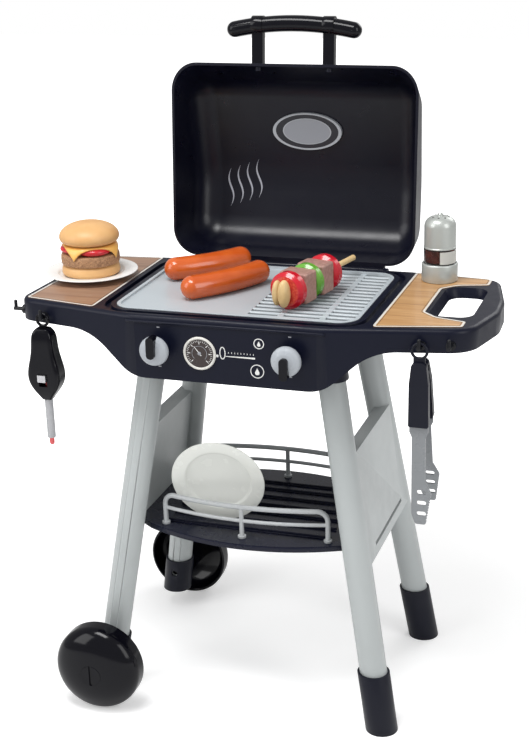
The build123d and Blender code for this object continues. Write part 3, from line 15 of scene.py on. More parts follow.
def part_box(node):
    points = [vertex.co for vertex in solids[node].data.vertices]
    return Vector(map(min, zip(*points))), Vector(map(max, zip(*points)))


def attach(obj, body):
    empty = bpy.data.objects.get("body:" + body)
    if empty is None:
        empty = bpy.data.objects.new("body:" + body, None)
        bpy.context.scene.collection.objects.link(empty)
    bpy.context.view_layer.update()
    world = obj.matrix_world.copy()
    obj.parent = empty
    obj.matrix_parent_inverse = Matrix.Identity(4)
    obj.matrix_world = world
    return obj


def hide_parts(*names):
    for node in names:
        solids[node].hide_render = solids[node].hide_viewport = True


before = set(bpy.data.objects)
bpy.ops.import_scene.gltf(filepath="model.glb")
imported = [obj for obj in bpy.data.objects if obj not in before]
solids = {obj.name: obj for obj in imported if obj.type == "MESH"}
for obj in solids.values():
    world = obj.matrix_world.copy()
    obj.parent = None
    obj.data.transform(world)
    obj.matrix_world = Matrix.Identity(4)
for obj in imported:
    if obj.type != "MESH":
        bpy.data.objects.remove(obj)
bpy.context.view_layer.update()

# %% [markdown]
# ## Places and colours
#
# All sizes below are in millimetres from the middle of the table, as they are measured on the object.
# The solids stand a little aside, with the middle of the whole box at zero, so one shift turns
# millimetres into places. Colours are written as they look on a screen, from 0 to 255.

# %% Places, colours and planes
MIDDLE = np.array([-4.134, -15.687, 0.0])
PER_METRE = 1000.0
ON_AXIS = 0.01  # the radius where a turned profile starts and ends: so small that it shuts in a pole


def metres(points):
    """Millimetres from the table's middle to metres in the frame: add the shift, divide by a thousand."""
    return (np.asarray(points, float) + MIDDLE) / PER_METRE


def colour(red, green, blue):
    """Screen values 0..255 to the linear ones that a shader takes: a straight near black, a power above it."""
    share = np.array([red, green, blue], float) / 255.0
    linear = np.where(share <= 0.04045, share / 12.92, ((share + 0.055) / 1.055) ** 2.4)
    return (*[float(v) for v in linear], 1.0)


def unit(vector):
    """A vector divided by its own length."""
    vector = np.asarray(vector, float)
    return vector / np.linalg.norm(vector)


class Place:
    """A set of axes: an origin with right, forward and up, all in millimetres."""

    def __init__(self, origin, right=(1, 0, 0), up=(0, 0, 1)):
        self.origin = np.asarray(origin, float)
        self.up = unit(up)
        right = np.asarray(right, float) - np.dot(right, self.up) * self.up
        self.right = unit(right)
        self.forward = np.cross(self.up, self.right)

    def __call__(self, points):
        """Points (right, forward, up) to the table's own axes."""
        x, y, z = np.split(np.asarray(points, float), 3, axis=-1)
        return self.origin + x * self.right + y * self.forward + z * self.up


table_z = 463.0
hinge_y, hinge_z, lid_angle = 110.9, 458.5, math.radians(94.93)


def lid_points(points):
    """Points on the closed lid to where they are with the lid open: a turn about the hinge line."""
    points = np.array(points, float)
    y, z = points[..., 1] - hinge_y, points[..., 2] - hinge_z
    c, s = math.cos(-lid_angle), math.sin(-lid_angle)
    points[..., 1], points[..., 2] = hinge_y + y * c - z * s, hinge_z + y * s + z * c
    return points


print("table's top at", metres([0, 0, table_z]))

# %% [markdown]
# ## Camera
#
# The camera stands where the photograph's lens stood. Its place and lens were solved from points
# whose size is known, such as the wheels, the table's corners and the shelf.

# %% Camera
azimuth, elevation, roll = math.radians(18.68), math.radians(19.61), math.radians(-1.64)
target, distance = np.array([2.5, 0.0, 362.6]), 1633.9
focal_length, sensor_width = 70.02, 36.0
outward = math.cos(elevation)
back = np.array([math.sin(azimuth) * outward, -math.cos(azimuth) * outward, math.sin(elevation)])
level = unit(np.cross(-back, [0, 0, 1]))
above = np.cross(back, level)
right = math.cos(roll) * level + math.sin(roll) * above
up = -math.sin(roll) * level + math.cos(roll) * above
eye = metres(target + distance * back)
lens = bpy.data.cameras.new("photo_camera")
lens.lens, lens.sensor_width = focal_length, sensor_width
lens.clip_start, lens.clip_end = 0.01, 100.0
camera = bpy.data.objects.new("photo_camera", lens)
camera.matrix_world = Matrix([[right[i], up[i], back[i], eye[i]] for i in range(3)] + [[0, 0, 0, 1]])
bpy.context.scene.collection.objects.link(camera)
bpy.context.scene.camera = camera
print("camera at", [round(float(v), 3) for v in eye])

# %% [markdown]
# ## Light and floor
#
# A glossy black toy shows mostly what it mirrors, so the lamps matter more than the black itself.
# Large soft lamps stand left, right, above and behind, and the world is white for the camera, so the page
# stays white, and a plain grey for everything else.

# %% World and lamps
WHITE = (1, 1, 1, 1)
page_strength, fill_strength = 1.0, 0.46
scene = bpy.context.scene
scene.view_settings.view_transform = "Standard"
world = bpy.data.worlds.new("studio")
scene.world = world
world.use_nodes = True
nodes, links = world.node_tree.nodes, world.node_tree.links
nodes.clear()
out = nodes.new("ShaderNodeOutputWorld")
page, fill = nodes.new("ShaderNodeBackground"), nodes.new("ShaderNodeBackground")
for background, strength in ((page, page_strength), (fill, fill_strength)):
    background.inputs["Color"].default_value = WHITE
    background.inputs["Strength"].default_value = strength
light_path, chooser = nodes.new("ShaderNodeLightPath"), nodes.new("ShaderNodeMixShader")
links.new(light_path.outputs["Is Camera Ray"], chooser.inputs["Fac"])
links.new(fill.outputs[0], chooser.inputs[1])
links.new(page.outputs[0], chooser.inputs[2])
links.new(chooser.outputs[0], out.inputs["Surface"])


def lamp(name, place, aim, size, power):
    """A soft oblong lamp at a place, turned to its aim. Places and sizes in metres, power in watts."""
    light = bpy.data.lights.new(name, "AREA")
    light.shape, light.size, light.size_y, light.energy = "RECTANGLE", size[0], size[1], power
    holder = bpy.data.objects.new(name, light)
    holder.location = place
    holder.rotation_euler = (Vector(aim) - Vector(place)).to_track_quat("-Z", "Y").to_euler()
    scene.collection.objects.link(holder)


lamp("left_window", place=(-1.7, -1.5, 1.5), aim=(0, 0, 0.4), size=(1.3, 1.6), power=21)
lamp("right_window", place=(1.9, -0.9, 1.3), aim=(0, 0, 0.4), size=(0.9, 1.6), power=15)
lamp("overhead", place=(-0.25, -0.55, 1.9), aim=(0, 0, 0.4), size=(0.9, 0.5), power=19)
lamp("back_rim", place=(0.7, 1.8, 1.5), aim=(0, 0, 0.5), size=(1.2, 1.0), power=11)

# %% [markdown]
# ## Meshes from grids
#
# Nearly every new piece is a grid of points: rows along one parameter, columns round the other.
# One function makes the faces of any grid, and closes its ends with a pole or with one flat face.

# %% Grid to mesh
def finish_mesh(name, points, faces, sharp=35.0):
    """Points (n, 3) in millimetres and faces to an object at the origin, smooth but at edges over the angle."""
    mesh = bpy.data.meshes.new(name)
    mesh.from_pydata([tuple(p) for p in metres(points)], [], faces)
    mesh.update()
    mesh.shade_smooth()
    mesh.set_sharp_from_angle(angle=math.radians(sharp))
    piece = bpy.data.objects.new(name, mesh)
    scene.collection.objects.link(piece)
    return piece


def grid_faces(rows, columns, around=True, along=False):
    """The quads of a grid of points, closed round the columns and, if asked, along the rows."""
    last_row = rows if along else rows - 1
    last_column = columns if around else columns - 1
    r, c = np.meshgrid(np.arange(last_row), np.arange(last_column), indexing="ij")
    r2, c2 = (r + 1) % rows, (c + 1) % columns
    quads = np.stack([r * columns + c, r * columns + c2, r2 * columns + c2, r2 * columns + c], axis=-1)
    return quads.reshape(-1, 4).tolist()


def grid_piece(name, grid, around=True, along=False, first="none", last="none", sharp=35.0):
    """A grid (rows, columns, 3) to an object. Its end rows stay open, or close in a pole or a flat face."""
    rows, columns = grid.shape[:2]
    points = grid.reshape(-1, 3)
    faces = grid_faces(rows, columns, around, along)
    ring = np.arange(columns)
    for which, kind in (("first", first), ("last", last)):
        base = 0 if which == "first" else (rows - 1) * columns
        if kind == "flat":
            loop = (base + ring).tolist()
            faces.append(loop[::-1] if which == "first" else loop)
        elif kind == "pole":
            pole = len(points)
            points = np.vstack([points, points[base + ring].mean(axis=0)])
            pair = np.stack([base + ring, base + np.roll(ring, -1)], axis=1)
            if which == "first":
                pair = pair[:, ::-1]
            faces += np.column_stack([pair, np.full(columns, pole)]).tolist()
    return finish_mesh(name, points, faces, sharp)


def turned(name, profile, place, columns=96, sharp=35.0, wobble=None):
    """A turned piece: each (radius, height) of the profile, lowest first, goes once round the place's up axis.
    wobble(turn, height) gives a factor on the radius. Both ends close in a pole."""
    profile = np.asarray(profile, float)
    turn = np.linspace(0, 2 * np.pi, columns, endpoint=False)
    radius, height = (np.repeat(profile[:, n:n + 1], columns, axis=1) for n in (0, 1))
    if wobble is not None:
        radius = radius * wobble(turn[None, :], height)
    grid = np.stack([radius * np.cos(turn), radius * np.sin(turn), height], axis=-1)
    return grid_piece(name, place(grid), first="pole", last="pole", sharp=sharp)


def circle(centre, radius, turn):
    """Points of a circle at the given turns in radians: the centre plus radius times cosine and sine."""
    return np.column_stack([centre[0] + radius * np.cos(turn), centre[1] + radius * np.sin(turn)])


def arc(centre, radius, start, end, count=8):
    """Points of a circular arc, from one angle to another in degrees."""
    return circle(centre, radius, np.radians(np.linspace(start, end, count)))


def ring_line(centre, radius, count=48):
    """A whole circle of points, anticlockwise."""
    return circle(centre, radius, np.linspace(0, 2 * np.pi, count, endpoint=False))


def rounded(corners, radii, count=6):
    """A closed outline with each corner rounded: the arc leaves a side at radius over tan of half the angle."""
    corners = np.asarray(corners, float)
    befores, afters = np.roll(corners, 1, axis=0), np.roll(corners, -1, axis=0)
    arcs = []
    for here, before, after, radius in zip(corners, befores, afters, np.broadcast_to(radii, len(corners))):
        a, b = unit(before - here), unit(after - here)
        half = math.acos(np.dot(a, b)) / 2
        start = radius / math.tan(half)
        centre = here + unit(a + b) * radius / math.sin(half)
        first, last = here + a * start - centre, here + b * start - centre
        share = np.linspace(0, 1, count)[:, None]
        bend = first * (1 - share) + last * share
        arcs.append(centre + bend / np.linalg.norm(bend, axis=1)[:, None] * radius)
    return np.vstack(arcs)


def grown(outline, amount, least=0.2):
    """A closed outline moved outwards: each point goes along the mean of its two sides' normals.
    The mean is divided by its squared length, or by the least one where the outline turns back sharply."""
    ahead = np.roll(outline, -1, axis=0) - outline
    ahead = ahead / np.maximum(np.linalg.norm(ahead, axis=1)[:, None], 1e-9)
    normal = np.column_stack([ahead[:, 1], -ahead[:, 0]])
    mean = normal + np.roll(normal, 1, axis=0)
    size = np.maximum((mean**2).sum(axis=1)[:, None], least)
    return outline + 2 * mean / size * amount


def strip(name, centre_line, width, place, thick=0.12):
    """A thin closed line: the centre line moved half the width to each side, with a small thickness."""
    outer, inner = grown(centre_line, width / 2), grown(centre_line, -width / 2)
    corners = ((inner, 0.0), (outer, 0.0), (outer, thick), (inner, thick))
    layers = [np.column_stack([line, np.full(len(line), height)]) for line, height in corners]
    return grid_piece(name, place(np.array(layers)), along=True)


print("helpers ready")

# %% [markdown]
# ## Finishes
#
# The toy is moulded plastic in a few finishes: satin charcoal on the table, deep gloss on the lid and wheels,
# silver-grey on the legs, and printed film on the wings. Each finish is a small node graph. Two noises break up
# the roughness and lift the surface a little, as a real mould does, and a wide one shifts the colour slightly.

# %% Plastic
def settle(node, values):
    """Constant values, straight onto a node's own sockets."""
    for socket, value in values.items():
        node.inputs[socket].default_value = value


class Graph:
    """A new material with its main shader. Each method adds nodes and gives the socket of their result."""

    def __init__(self, name):
        self.material = bpy.data.materials.new(name)
        self.material.use_nodes = True
        tree = self.material.node_tree
        tree.nodes.clear()
        self.new, self.link = tree.nodes.new, tree.links.new
        self.shader = self.new("ShaderNodeBsdfPrincipled")
        self.link(self.shader.outputs[0], self.new("ShaderNodeOutputMaterial").inputs["Surface"])

    def feed(self, socket, name):
        """A result goes into a socket of the main shader."""
        self.link(socket, self.shader.inputs[name])

    def where(self):
        """The place of a point, in Object coordinates."""
        return self.new("ShaderNodeTexCoord").outputs["Object"]

    def noise(self, scale, detail=3.0, stretch=None):
        """A noise on Object coordinates, stretched by a mapping if asked."""
        place, texture = self.where(), self.new("ShaderNodeTexNoise")
        settle(texture, {"Scale": scale, "Detail": detail})
        if stretch is not None:
            mapping = self.new("ShaderNodeMapping")
            mapping.inputs["Scale"].default_value = stretch
            self.link(place, mapping.inputs["Vector"])
            place = mapping.outputs[0]
        self.link(place, texture.inputs["Vector"])
        return texture.outputs["Fac"]

    def blend(self, fac, first, second):
        """Two colours mixed by a factor that a socket gives. The first is a colour or a socket too."""
        mix = self.new("ShaderNodeMix")
        mix.data_type = "RGBA"
        if isinstance(first, tuple):
            mix.inputs["A"].default_value = first
        else:
            self.link(first, mix.inputs["A"])
        mix.inputs["B"].default_value = second
        self.link(fac, mix.inputs["Factor"])
        return mix.outputs["Result"]

    def ranged(self, value, low, high, from_low=0.3, from_high=0.7):
        """A value moved from one range to another. A noise lies mostly between 0.3 and 0.7."""
        node = self.new("ShaderNodeMapRange")
        settle(node, {"From Min": from_low, "From Max": from_high, "To Min": low, "To Max": high})
        self.link(value, node.inputs["Value"])
        return node.outputs["Result"]

    def off_axis(self, centre, turn=0.0, scale=(1, 1, 1)):
        """How far a point lies from a line along Y through the centre: Object coordinates are moved there,
        turned about Z and scaled, Y is dropped, and the length of the rest is taken."""
        mapping = self.new("ShaderNodeMapping")
        mapping.vector_type = "TEXTURE"
        settle(mapping, {"Location": centre, "Rotation": (0, 0, turn), "Scale": scale})
        flat, length = self.new("ShaderNodeVectorMath"), self.new("ShaderNodeVectorMath")
        flat.operation, length.operation = "MULTIPLY", "LENGTH"
        flat.inputs[1].default_value = (1, 0, 1)
        self.link(self.where(), mapping.inputs["Vector"])
        self.link(mapping.outputs[0], flat.inputs[0])
        self.link(flat.outputs[0], length.inputs[0])
        return length.outputs["Value"]

    def skin(self, scale, detail, strength, height):
        """A fine noise that lifts the surface: its strength, and its height in metres."""
        bump = self.new("ShaderNodeBump")
        settle(bump, {"Strength": strength, "Distance": height})
        self.link(self.noise(scale, detail), bump.inputs["Height"])
        self.feed(bump.outputs[0], "Normal")


def plastic(
    name, base, roughness=0.35, vary=0.05, grain=0.04, grain_scale=900.0, specular=0.5, spread=0.06, metal=0.0
):
    """Moulded plastic: a wide noise varies the colour, a middle one the roughness, a fine one lifts the skin."""
    graph, base = Graph(name), colour(*base)
    dark = tuple(v * (1 - vary) for v in base[:3]) + (1.0,)
    light = tuple(min(v * (1 + vary), 1.0) for v in base[:3]) + (1.0,)
    graph.feed(graph.blend(graph.noise(scale=14.0), dark, light), "Base Color")
    middle = graph.noise(scale=60.0, detail=4.0)
    graph.feed(graph.ranged(middle, max(roughness - spread, 0.02), roughness + spread), "Roughness")
    graph.skin(grain_scale, detail=2.0, strength=grain, height=0.0004)
    settle(graph.shader, {"Specular IOR Level": specular, "Metallic": metal})
    return graph.material


charcoal = plastic("table_charcoal", (15, 18, 34), 0.36, grain=0.14, grain_scale=1400.0, specular=0.20)
lid_black = plastic("lid_gloss_black", (11, 12, 26), 0.30, grain=0.02, spread=0.03, specular=0.34)
gloss_black = plastic("gloss_black", (8, 8, 15), 0.13, grain=0.01, spread=0.02, specular=0.24)
satin_black = plastic("satin_black", (16, 18, 31), 0.36, grain=0.08, specular=0.24)
peg_black = plastic("peg_black", (18, 19, 24), 0.32, grain=0.05, specular=0.32)
shelf_black = plastic("shelf_navy_black", (14, 17, 36), 0.26, grain=0.02, specular=0.30)
leg_silver = plastic("leg_silver_grey", (178, 183, 183), 0.34, specular=0.45)
rail_silver = plastic("rail_silver", (176, 179, 181), 0.30, grain=0.03)
disc_grey = plastic("knob_disc_grey", (168, 173, 179), 0.28, grain=0.03)
arm_grey = plastic("tongs_arm_grey", (130, 133, 136), 0.30, grain=0.03)
probe_grey = plastic("probe_shaft_grey", (176, 177, 180), 0.3)
dish_white = plastic("dish_white", (238, 238, 236), 0.22, vary=0.02, grain=0.02)
plate_white = plastic("dinner_plate_white", (240, 242, 236), 0.24, vary=0.02, grain=0.02)
mill_silver = plastic("mill_silver", (186, 190, 186), 0.34, grain=0.02, spread=0.02, metal=0.4)
click_white = plastic("click_wheel_white", (220, 220, 215))
print("plain plastics", len(bpy.data.materials))

# %% [markdown]
# ## The grill plate
#
# The plate is one silver-grey moulding, and the gaps between its bars fall in shade, which is painted into its
# colour.
# A height tells the two apart: the gaps' floor lies below the tops of the bars, so the colour follows the Z
# coordinate and goes dark towards the gaps' floor as painted shade.

# %% Grill plate
gap_floor, bar_top = 0.4588, 0.4612
graph = Graph("plate_silver_grey_and_painted_gap_shade")
split = graph.new("ShaderNodeSeparateXYZ")
graph.link(graph.where(), split.inputs[0])
height = graph.ranged(split.outputs["Z"], 0.0, 1.0, gap_floor, bar_top)
# painted shade: below the bars' tops the colour goes dark, where the gaps between the bars fall in shade
graph.feed(graph.blend(height, colour(58, 62, 68), colour(178, 186, 191)), "Base Color")
graph.feed(graph.ranged(graph.noise(scale=60.0, detail=4.0), 0.28, 0.32), "Roughness")
graph.skin(scale=900.0, detail=2.0, strength=0.02, height=0.0004)
plate_grey_and_gap_shade = graph.material
print("plate: gaps below", gap_floor, "bars above", bar_top)

# %% [markdown]
# ## Printed wood
#
# The wings carry a printed film with planks' grain and a silver edge. The grain runs along the grill,
# so one noise is stretched hard along X: it makes long streaks, and a second one shifts them in tone.
# A thin gloss coat stands for the film.

# %% Wood film
def wood_film(name, light, dark, line):
    """Printed wood: streaks from a noise stretched along X, a finer one for pores, and a coat."""
    graph = Graph(name)
    streak = graph.ranged(graph.noise(26.0, 6.0, stretch=(0.22, 3.2, 1.0)), 0.0, 1.0, 0.36, 0.66)
    pore = graph.ranged(graph.noise(90.0, 5.0, stretch=(0.10, 4.0, 1.0)), 0.0, 0.65, 0.55, 0.70)
    planks = graph.blend(streak, colour(*dark), colour(*light))
    graph.feed(graph.blend(pore, planks, colour(*line)), "Base Color")
    settle(graph.shader, {"Roughness": 0.38, "Coat Weight": 0.25, "Coat Roughness": 0.12})
    return graph.material


right_wood = wood_film("right_wood_film", (204, 162, 112), (178, 132, 84), (140, 98, 60))
left_wood = wood_film("left_wood_film", (166, 130, 104), (140, 104, 80), (108, 78, 60))
silver_line = plastic("printed_silver_line", (214, 212, 206), vary=0.02, grain=0.0)
white_print = plastic("printed_white", (232, 232, 230), 0.40, vary=0.02, grain=0.0)
grey_print = plastic("printed_grey", (150, 152, 158), 0.45, vary=0.03, grain=0.0)
# dark ink for the films' hairlines, and painted shade for the mill cap's holes
dark_print_and_hole_shade = plastic("printed_dark_and_hole_shade", (38, 34, 34), vary=0.03, grain=0.0)
print("films ready")

# %% [markdown]
# ## Steel, clear plastic and food
#
# Screws and pins are bare steel. The mill's window is clear plastic, so that the peppercorns show.
# The food is soft-looking plastic: bread, meat and vegetables each get their own colour noise.

# %% Steel, clear plastic and food colours
def steel(name, base):
    """Bare metal with fine turning marks: the roughness follows a noise stretched along Z."""
    graph = Graph(name)
    settle(graph.shader, {"Base Color": colour(*base), "Metallic": 1.0})
    graph.feed(graph.ranged(graph.noise(400.0, stretch=(1, 1, 0.1)), 0.22, 0.38), "Roughness")
    return graph.material


def clear_plastic(name, tint=(0.96, 0.94, 0.93, 1)):
    """Clear plastic: light goes nearly straight through, with a smooth skin of faint ripples."""
    graph = Graph(name)
    settle(graph.shader, {"Base Color": tint, "Roughness": 0.03, "Transmission Weight": 1.0, "IOR": 1.15})
    graph.skin(scale=120.0, detail=1.0, strength=0.03, height=0.0003)
    return graph.material


def food(name, first, second, scale, roughness, lift, lift_scale=260.0, soft=0.0, coat=0.0):
    """Play food: two colours in patches, a bumpy skin, and a little light inside where it looks soft."""
    graph = Graph(name)
    patch = graph.ranged(graph.noise(scale, detail=4.0), 0, 1)
    graph.feed(graph.blend(patch, colour(*first), colour(*second)), "Base Color")
    settle(graph.shader, {"Roughness": roughness, "Coat Weight": coat, "Coat Roughness": 0.1})
    if soft:
        depth = (0.004, 0.002, 0.001)
        settle(graph.shader, {"Subsurface Weight": soft, "Subsurface Radius": depth, "Subsurface Scale": 0.6})
    graph.skin(lift_scale, detail=5.0, strength=lift, height=0.0006)
    return graph.material


# A food's numbers are the scale of its patches, the roughness, the lift of its skin and the scale of that lift.
bare_steel = steel("bare_steel", (190, 190, 192))
button_silver = steel("button_silver", (205, 205, 208))
window_clear = clear_plastic("mill_window_clear")
bread = food("bun_crust", (208, 156, 98), (222, 178, 122), 30.0, 0.45, 0.12)
tomato_red = food("tomato_red", (188, 20, 36), (206, 34, 46), 50.0, 0.22, 0.03, soft=0.05, coat=0.3)
cheese_yellow = food("cheese_yellow", (246, 186, 52), (250, 200, 70), 30.0, 0.32, 0.04, coat=0.2)
sausage_brown = food("sausage_brown", (192, 80, 26), (208, 98, 38), 36.0, 0.22, 0.03, soft=0.05, coat=0.35)
patty_brown = food("patty_brown", (74, 40, 24), (104, 60, 36), 120.0, 0.5, 0.7, 320.0)
mushroom_cream = food("mushroom_cream", (200, 166, 112), (218, 188, 136), 60.0, 0.4, 0.12)
meat_brown = food("kebab_meat_brown", (150, 112, 102), (176, 138, 126), 260.0, 0.45, 0.45, 700.0)
pepper_green = food("pepper_green", (88, 152, 46), (110, 172, 62), 50.0, 0.22, 0.04, coat=0.35)
stick_wood = food("stick_wood", (214, 182, 128), (228, 200, 150), 200.0, 0.5, 0.1)
corn_dark = food("peppercorn_dark", (62, 26, 22), (98, 44, 34), 300.0, 0.45, 0.5, 900.0)
tip_red = food("probe_tip_red", (226, 92, 96), (232, 106, 108), 60.0, 0.35, 0.02)
print("all finishes", len(bpy.data.materials))

# %% [markdown]
# ## Cut faces of the kebab's tomatoes
#
# A cut tomato is paler inside its red wall. How far a point lies from the stick's axis picks the tone,
# and small cells break up the flesh like seeds.

# %% Cut tomato
def cut_round(name, origin, turn, flesh_radius, wall_radius, flesh, wall):
    """Flesh inside one radius from the stick's axis, wall outside the other; cells add seeds to the flesh."""
    graph = Graph(name)
    seeds = graph.new("ShaderNodeTexVoronoi")
    seeds.inputs["Scale"].default_value = 420.0
    graph.link(graph.where(), seeds.inputs["Vector"])
    near_seed = graph.ranged(seeds.outputs["Distance"], 0.0, 0.7, 0.2, 0.7)
    seeded = graph.blend(near_seed, colour(*flesh), colour(*wall))
    share = graph.ranged(graph.off_axis(origin, turn), 0.0, 1.0, flesh_radius, wall_radius)
    graph.feed(graph.blend(share, seeded, colour(*wall)), "Base Color")
    settle(graph.shader, {"Roughness": 0.22, "Coat Weight": 0.3})
    return graph.material


stick_middle, stick_turn = (47.5, -82.0, 482.25), math.radians(13)
stick_origin = tuple(float(v) for v in metres(stick_middle))
cut_tomato = cut_round(
    "kebab_tomato_cut", stick_origin, -stick_turn, flesh_radius=0.0145, wall_radius=0.0165,
    flesh=(226, 92, 70), wall=(194, 22, 40),
)
print("cut tomato round", stick_origin)

# %% [markdown]
# ## The lid's badge
#
# The badge is a bare oval plate: a light ring, a dark band, a thin light line and a grey middle. The zones come
# from one number, how far a point lies from the middle when both half axes are scaled to one.

# %% Badge
def oval_zones(name, centre, half_long, half_short, zones):
    """Zones of an oval: the distance from its middle with X and the height scaled to one picks the tone.
    zones are (share of the half axis where a zone starts, tone), from the middle out."""
    graph = Graph(name)
    ramp = graph.new("ShaderNodeValToRGB")
    ramp.color_ramp.interpolation = "CONSTANT"
    elements = ramp.color_ramp.elements
    elements[0].color = colour(*zones[0][1])
    elements[1].position, elements[1].color = zones[1][0], colour(*zones[1][1])
    for start, tone in zones[2:]:
        elements.new(start).color = colour(*tone)
    graph.link(graph.off_axis(centre, scale=(half_long, 1.0, half_short)), ramp.inputs["Fac"])
    graph.feed(ramp.outputs["Color"], "Base Color")
    graph.shader.inputs["Roughness"].default_value = 0.3
    graph.skin(scale=500.0, detail=2.0, strength=0.04, height=0.0003)
    return graph.material


badge_low, badge_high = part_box("lid_badge")
badge_middle = (np.array(badge_low) + np.array(badge_high)) / 2
badge_half_long, badge_half_short = 0.0423, (badge_high[2] - badge_low[2]) / 2
badge_light, badge_dark, badge_grey = (176, 180, 186), (36, 37, 44), (150, 153, 160)
badge_finish = oval_zones(
    "badge_zones", tuple(badge_middle), badge_half_long, badge_half_short,
    ((0.0, badge_grey), (0.67, badge_light), (0.70, badge_dark), (0.91, badge_light)),
)
print("badge from", badge_low, "to", badge_high)

# %% [markdown]
# ## Finishes on the solids
#
# Every solid gets its finish by name. The hard-edged mouldings also get a narrow bevel as a modifier:
# the solid keeps its shape, and its edges catch a thin line of light, as moulded edges do.

# %% Assign
four_feet = "front_left_foot rear_left_foot front_right_foot rear_right_foot"
finishes = (
    (charcoal, "table_top leg_sockets"), (lid_black, "lid_shell"), (shelf_black, "shelf"),
    (satin_black, f"{four_feet} click_pawls handle_screws tongs_front_grip tongs_rear_grip"),
    (gloss_black, "wheel_pins lid_handle left_knob_grip right_knob_grip front_wheel rear_wheel probe_handle"),
    (peg_black, "utensil_hooks"), (bare_steel, "socket_screws lid_hinge_pins tongs_pin"),
    (leg_silver, "left_leg_frame right_leg_frame"), (rail_silver, "front_rail rear_rail"),
    (plate_grey_and_gap_shade, "grill_plate"), (disc_grey, "left_knob_disc right_knob_disc"),
    (click_white, "left_click_wheel right_click_wheel"), (badge_finish, "lid_badge"),
    (right_wood, "right_wood_label"), (left_wood, "left_wood_label"), (white_print, "gauge_dial"),
    (arm_grey, "tongs_front_arm tongs_rear_arm"), (probe_grey, "probe_shaft"), (tip_red, "probe_tip"),
    (button_silver, "probe_button"), (mill_silver, "mill_base mill_cap"), (window_clear, "mill_window"),
    (corn_dark, "mill_peppercorns"), (dish_white, "serving_dish"), (plate_white, "dinner_plate"),
    (bread, "burger_bottom_bun burger_top_bun"), (patty_brown, "burger_patty"), (tomato_red, "burger_tomato"),
    (cheese_yellow, "burger_cheese"), (sausage_brown, "front_sausage rear_sausage"),
    (stick_wood, "skewer_stick"), (mushroom_cream, "kebab_mushroom"), (cut_tomato, "kebab_tomatoes"),
    (meat_brown, "kebab_meat"), (pepper_green, "kebab_pepper"),
)
finish_of = {name: finish for finish, names in finishes for name in names.split()}
for name, solid in solids.items():
    solid.data.materials.clear()
    solid.data.materials.append(finish_of[name])

bevel_widths = (
    (0.8, f"table_top shelf {four_feet}"),
    (1.6, "left_leg_frame right_leg_frame"),
    (0.6, "leg_sockets"),
    (0.7, "lid_shell"),
    (1.0, "lid_handle tongs_front_grip tongs_rear_grip"),
    (0.5, "grill_plate probe_shaft"),
    (0.4, "utensil_hooks"),
    (0.3, "front_rail rear_rail"),
)
same_point, bevel_from = 0.00001, math.radians(38)
for width, names in bevel_widths:
    for name in names.split():
        solid = solids[name]
        solid.modifiers.new("weld", "WELD").merge_threshold = same_point
        bevel = solid.modifiers.new("bevel", "BEVEL")
        bevel.width, bevel.segments = width / PER_METRE, 2
        bevel.limit_method, bevel.angle_limit = "ANGLE", bevel_from
        bevel.harden_normals = False
print("finished", len(finish_of), "with bevels of", [width for width, _ in bevel_widths], "mm")

# %% [markdown]
# ## Borders of the printed films
#
# Each wing's film is framed by a silver line with a thin dark one inside it. A line on a flat film is ink, so
# here it is a strip a few hundredths of a millimetre high that follows the film's outline at a fixed distance.

# %% Film borders
film_z, ink_height = table_z + 0.4, 0.03
# Kind of line, inset from the film's edge, width and finish
film_lines = (("border", 1.2, 2.3, silver_line), ("hairline", 3.6, 0.55, dark_print_and_hole_shade))
right_corners = [
    (153, -105), (240.8, -85.2), (240.8, -67.5), (208.5, -58.5), (193.5, -43.5),
    (193.5, 43.5), (208.5, 58.5), (240.8, 67.5), (240.8, 91), (153, 100),
]
right_film = rounded(right_corners, [4, 4, 4, 15, 7.5, 7.5, 15, 4, 8, 4])
left_film = rounded([(-153, -105), (-153, 100), (-230.3, 91), (-239, -88.2)], 4.0)
for side, film in (("right", right_film), ("left", left_film)):
    for kind, inset, width, finish in film_lines:
        line, place = grown(film, -inset), Place((0, 0, film_z))
        piece = strip(f"{side}_wood_{kind}", line, width, place, thick=ink_height)
        piece.data.materials.append(finish)
        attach(piece, "grill")
print("borders", len(right_film), len(left_film), "points round")

# %% [markdown]
# ## Printed strokes and small plates
#
# The panel's prints and the wisps inside the lid are thin ink. A stroke is a path with a width at each point;
# a mark is a small flat outline. Both get a tenth of a millimetre of height, so that they lie on their surface.

# %% Strokes and marks
def stroke(name, path, width, place, low=0.0, high=0.12):
    """A stroke along a flat path: at each point four corners stand half the width to each side, low and high."""
    along = np.gradient(path, axis=0)
    along = along / np.linalg.norm(along, axis=1)[:, None]
    side = np.column_stack([along[:, 1], -along[:, 0]])
    half = np.broadcast_to(np.asarray(width, float), (len(path),))[:, None] / 2
    right_edge, left_edge = path + side * half, path - side * half
    edges = ((right_edge, low), (left_edge, low), (left_edge, high), (right_edge, high))
    corners = [np.hstack([edge, np.full((len(path), 1), height)]) for edge, height in edges]
    return grid_piece(name, place(np.stack(corners, axis=1)), first="flat", last="flat")


def marks(name, outlines, place, low=0.0, high=0.12):
    """Flat marks: each outline, anticlockwise and of one count of corners, is a thin plate from low to high."""
    outlines = np.asarray(outlines, float)
    count, corners = outlines.shape[:2]
    layers = [np.concatenate([outlines, np.full((count, corners, 1), height)], axis=2) for height in (low, high)]
    points = np.stack(layers, axis=1).reshape(-1, 3)
    ring = np.arange(corners)
    wall = np.stack([ring, np.roll(ring, -1), corners + np.roll(ring, -1), corners + ring], axis=1)
    faces = []
    for base in range(0, count * 2 * corners, 2 * corners):
        faces += [(base + ring[::-1]).tolist(), (base + corners + ring).tolist()] + (base + wall).tolist()
    return finish_mesh(name, place(points), faces)


def oblong(x_low, x_high, y_low, y_high):
    """The four corners of an oblong, anticlockwise."""
    return [(x_low, y_low), (x_high, y_low), (x_high, y_high), (x_low, y_high)]


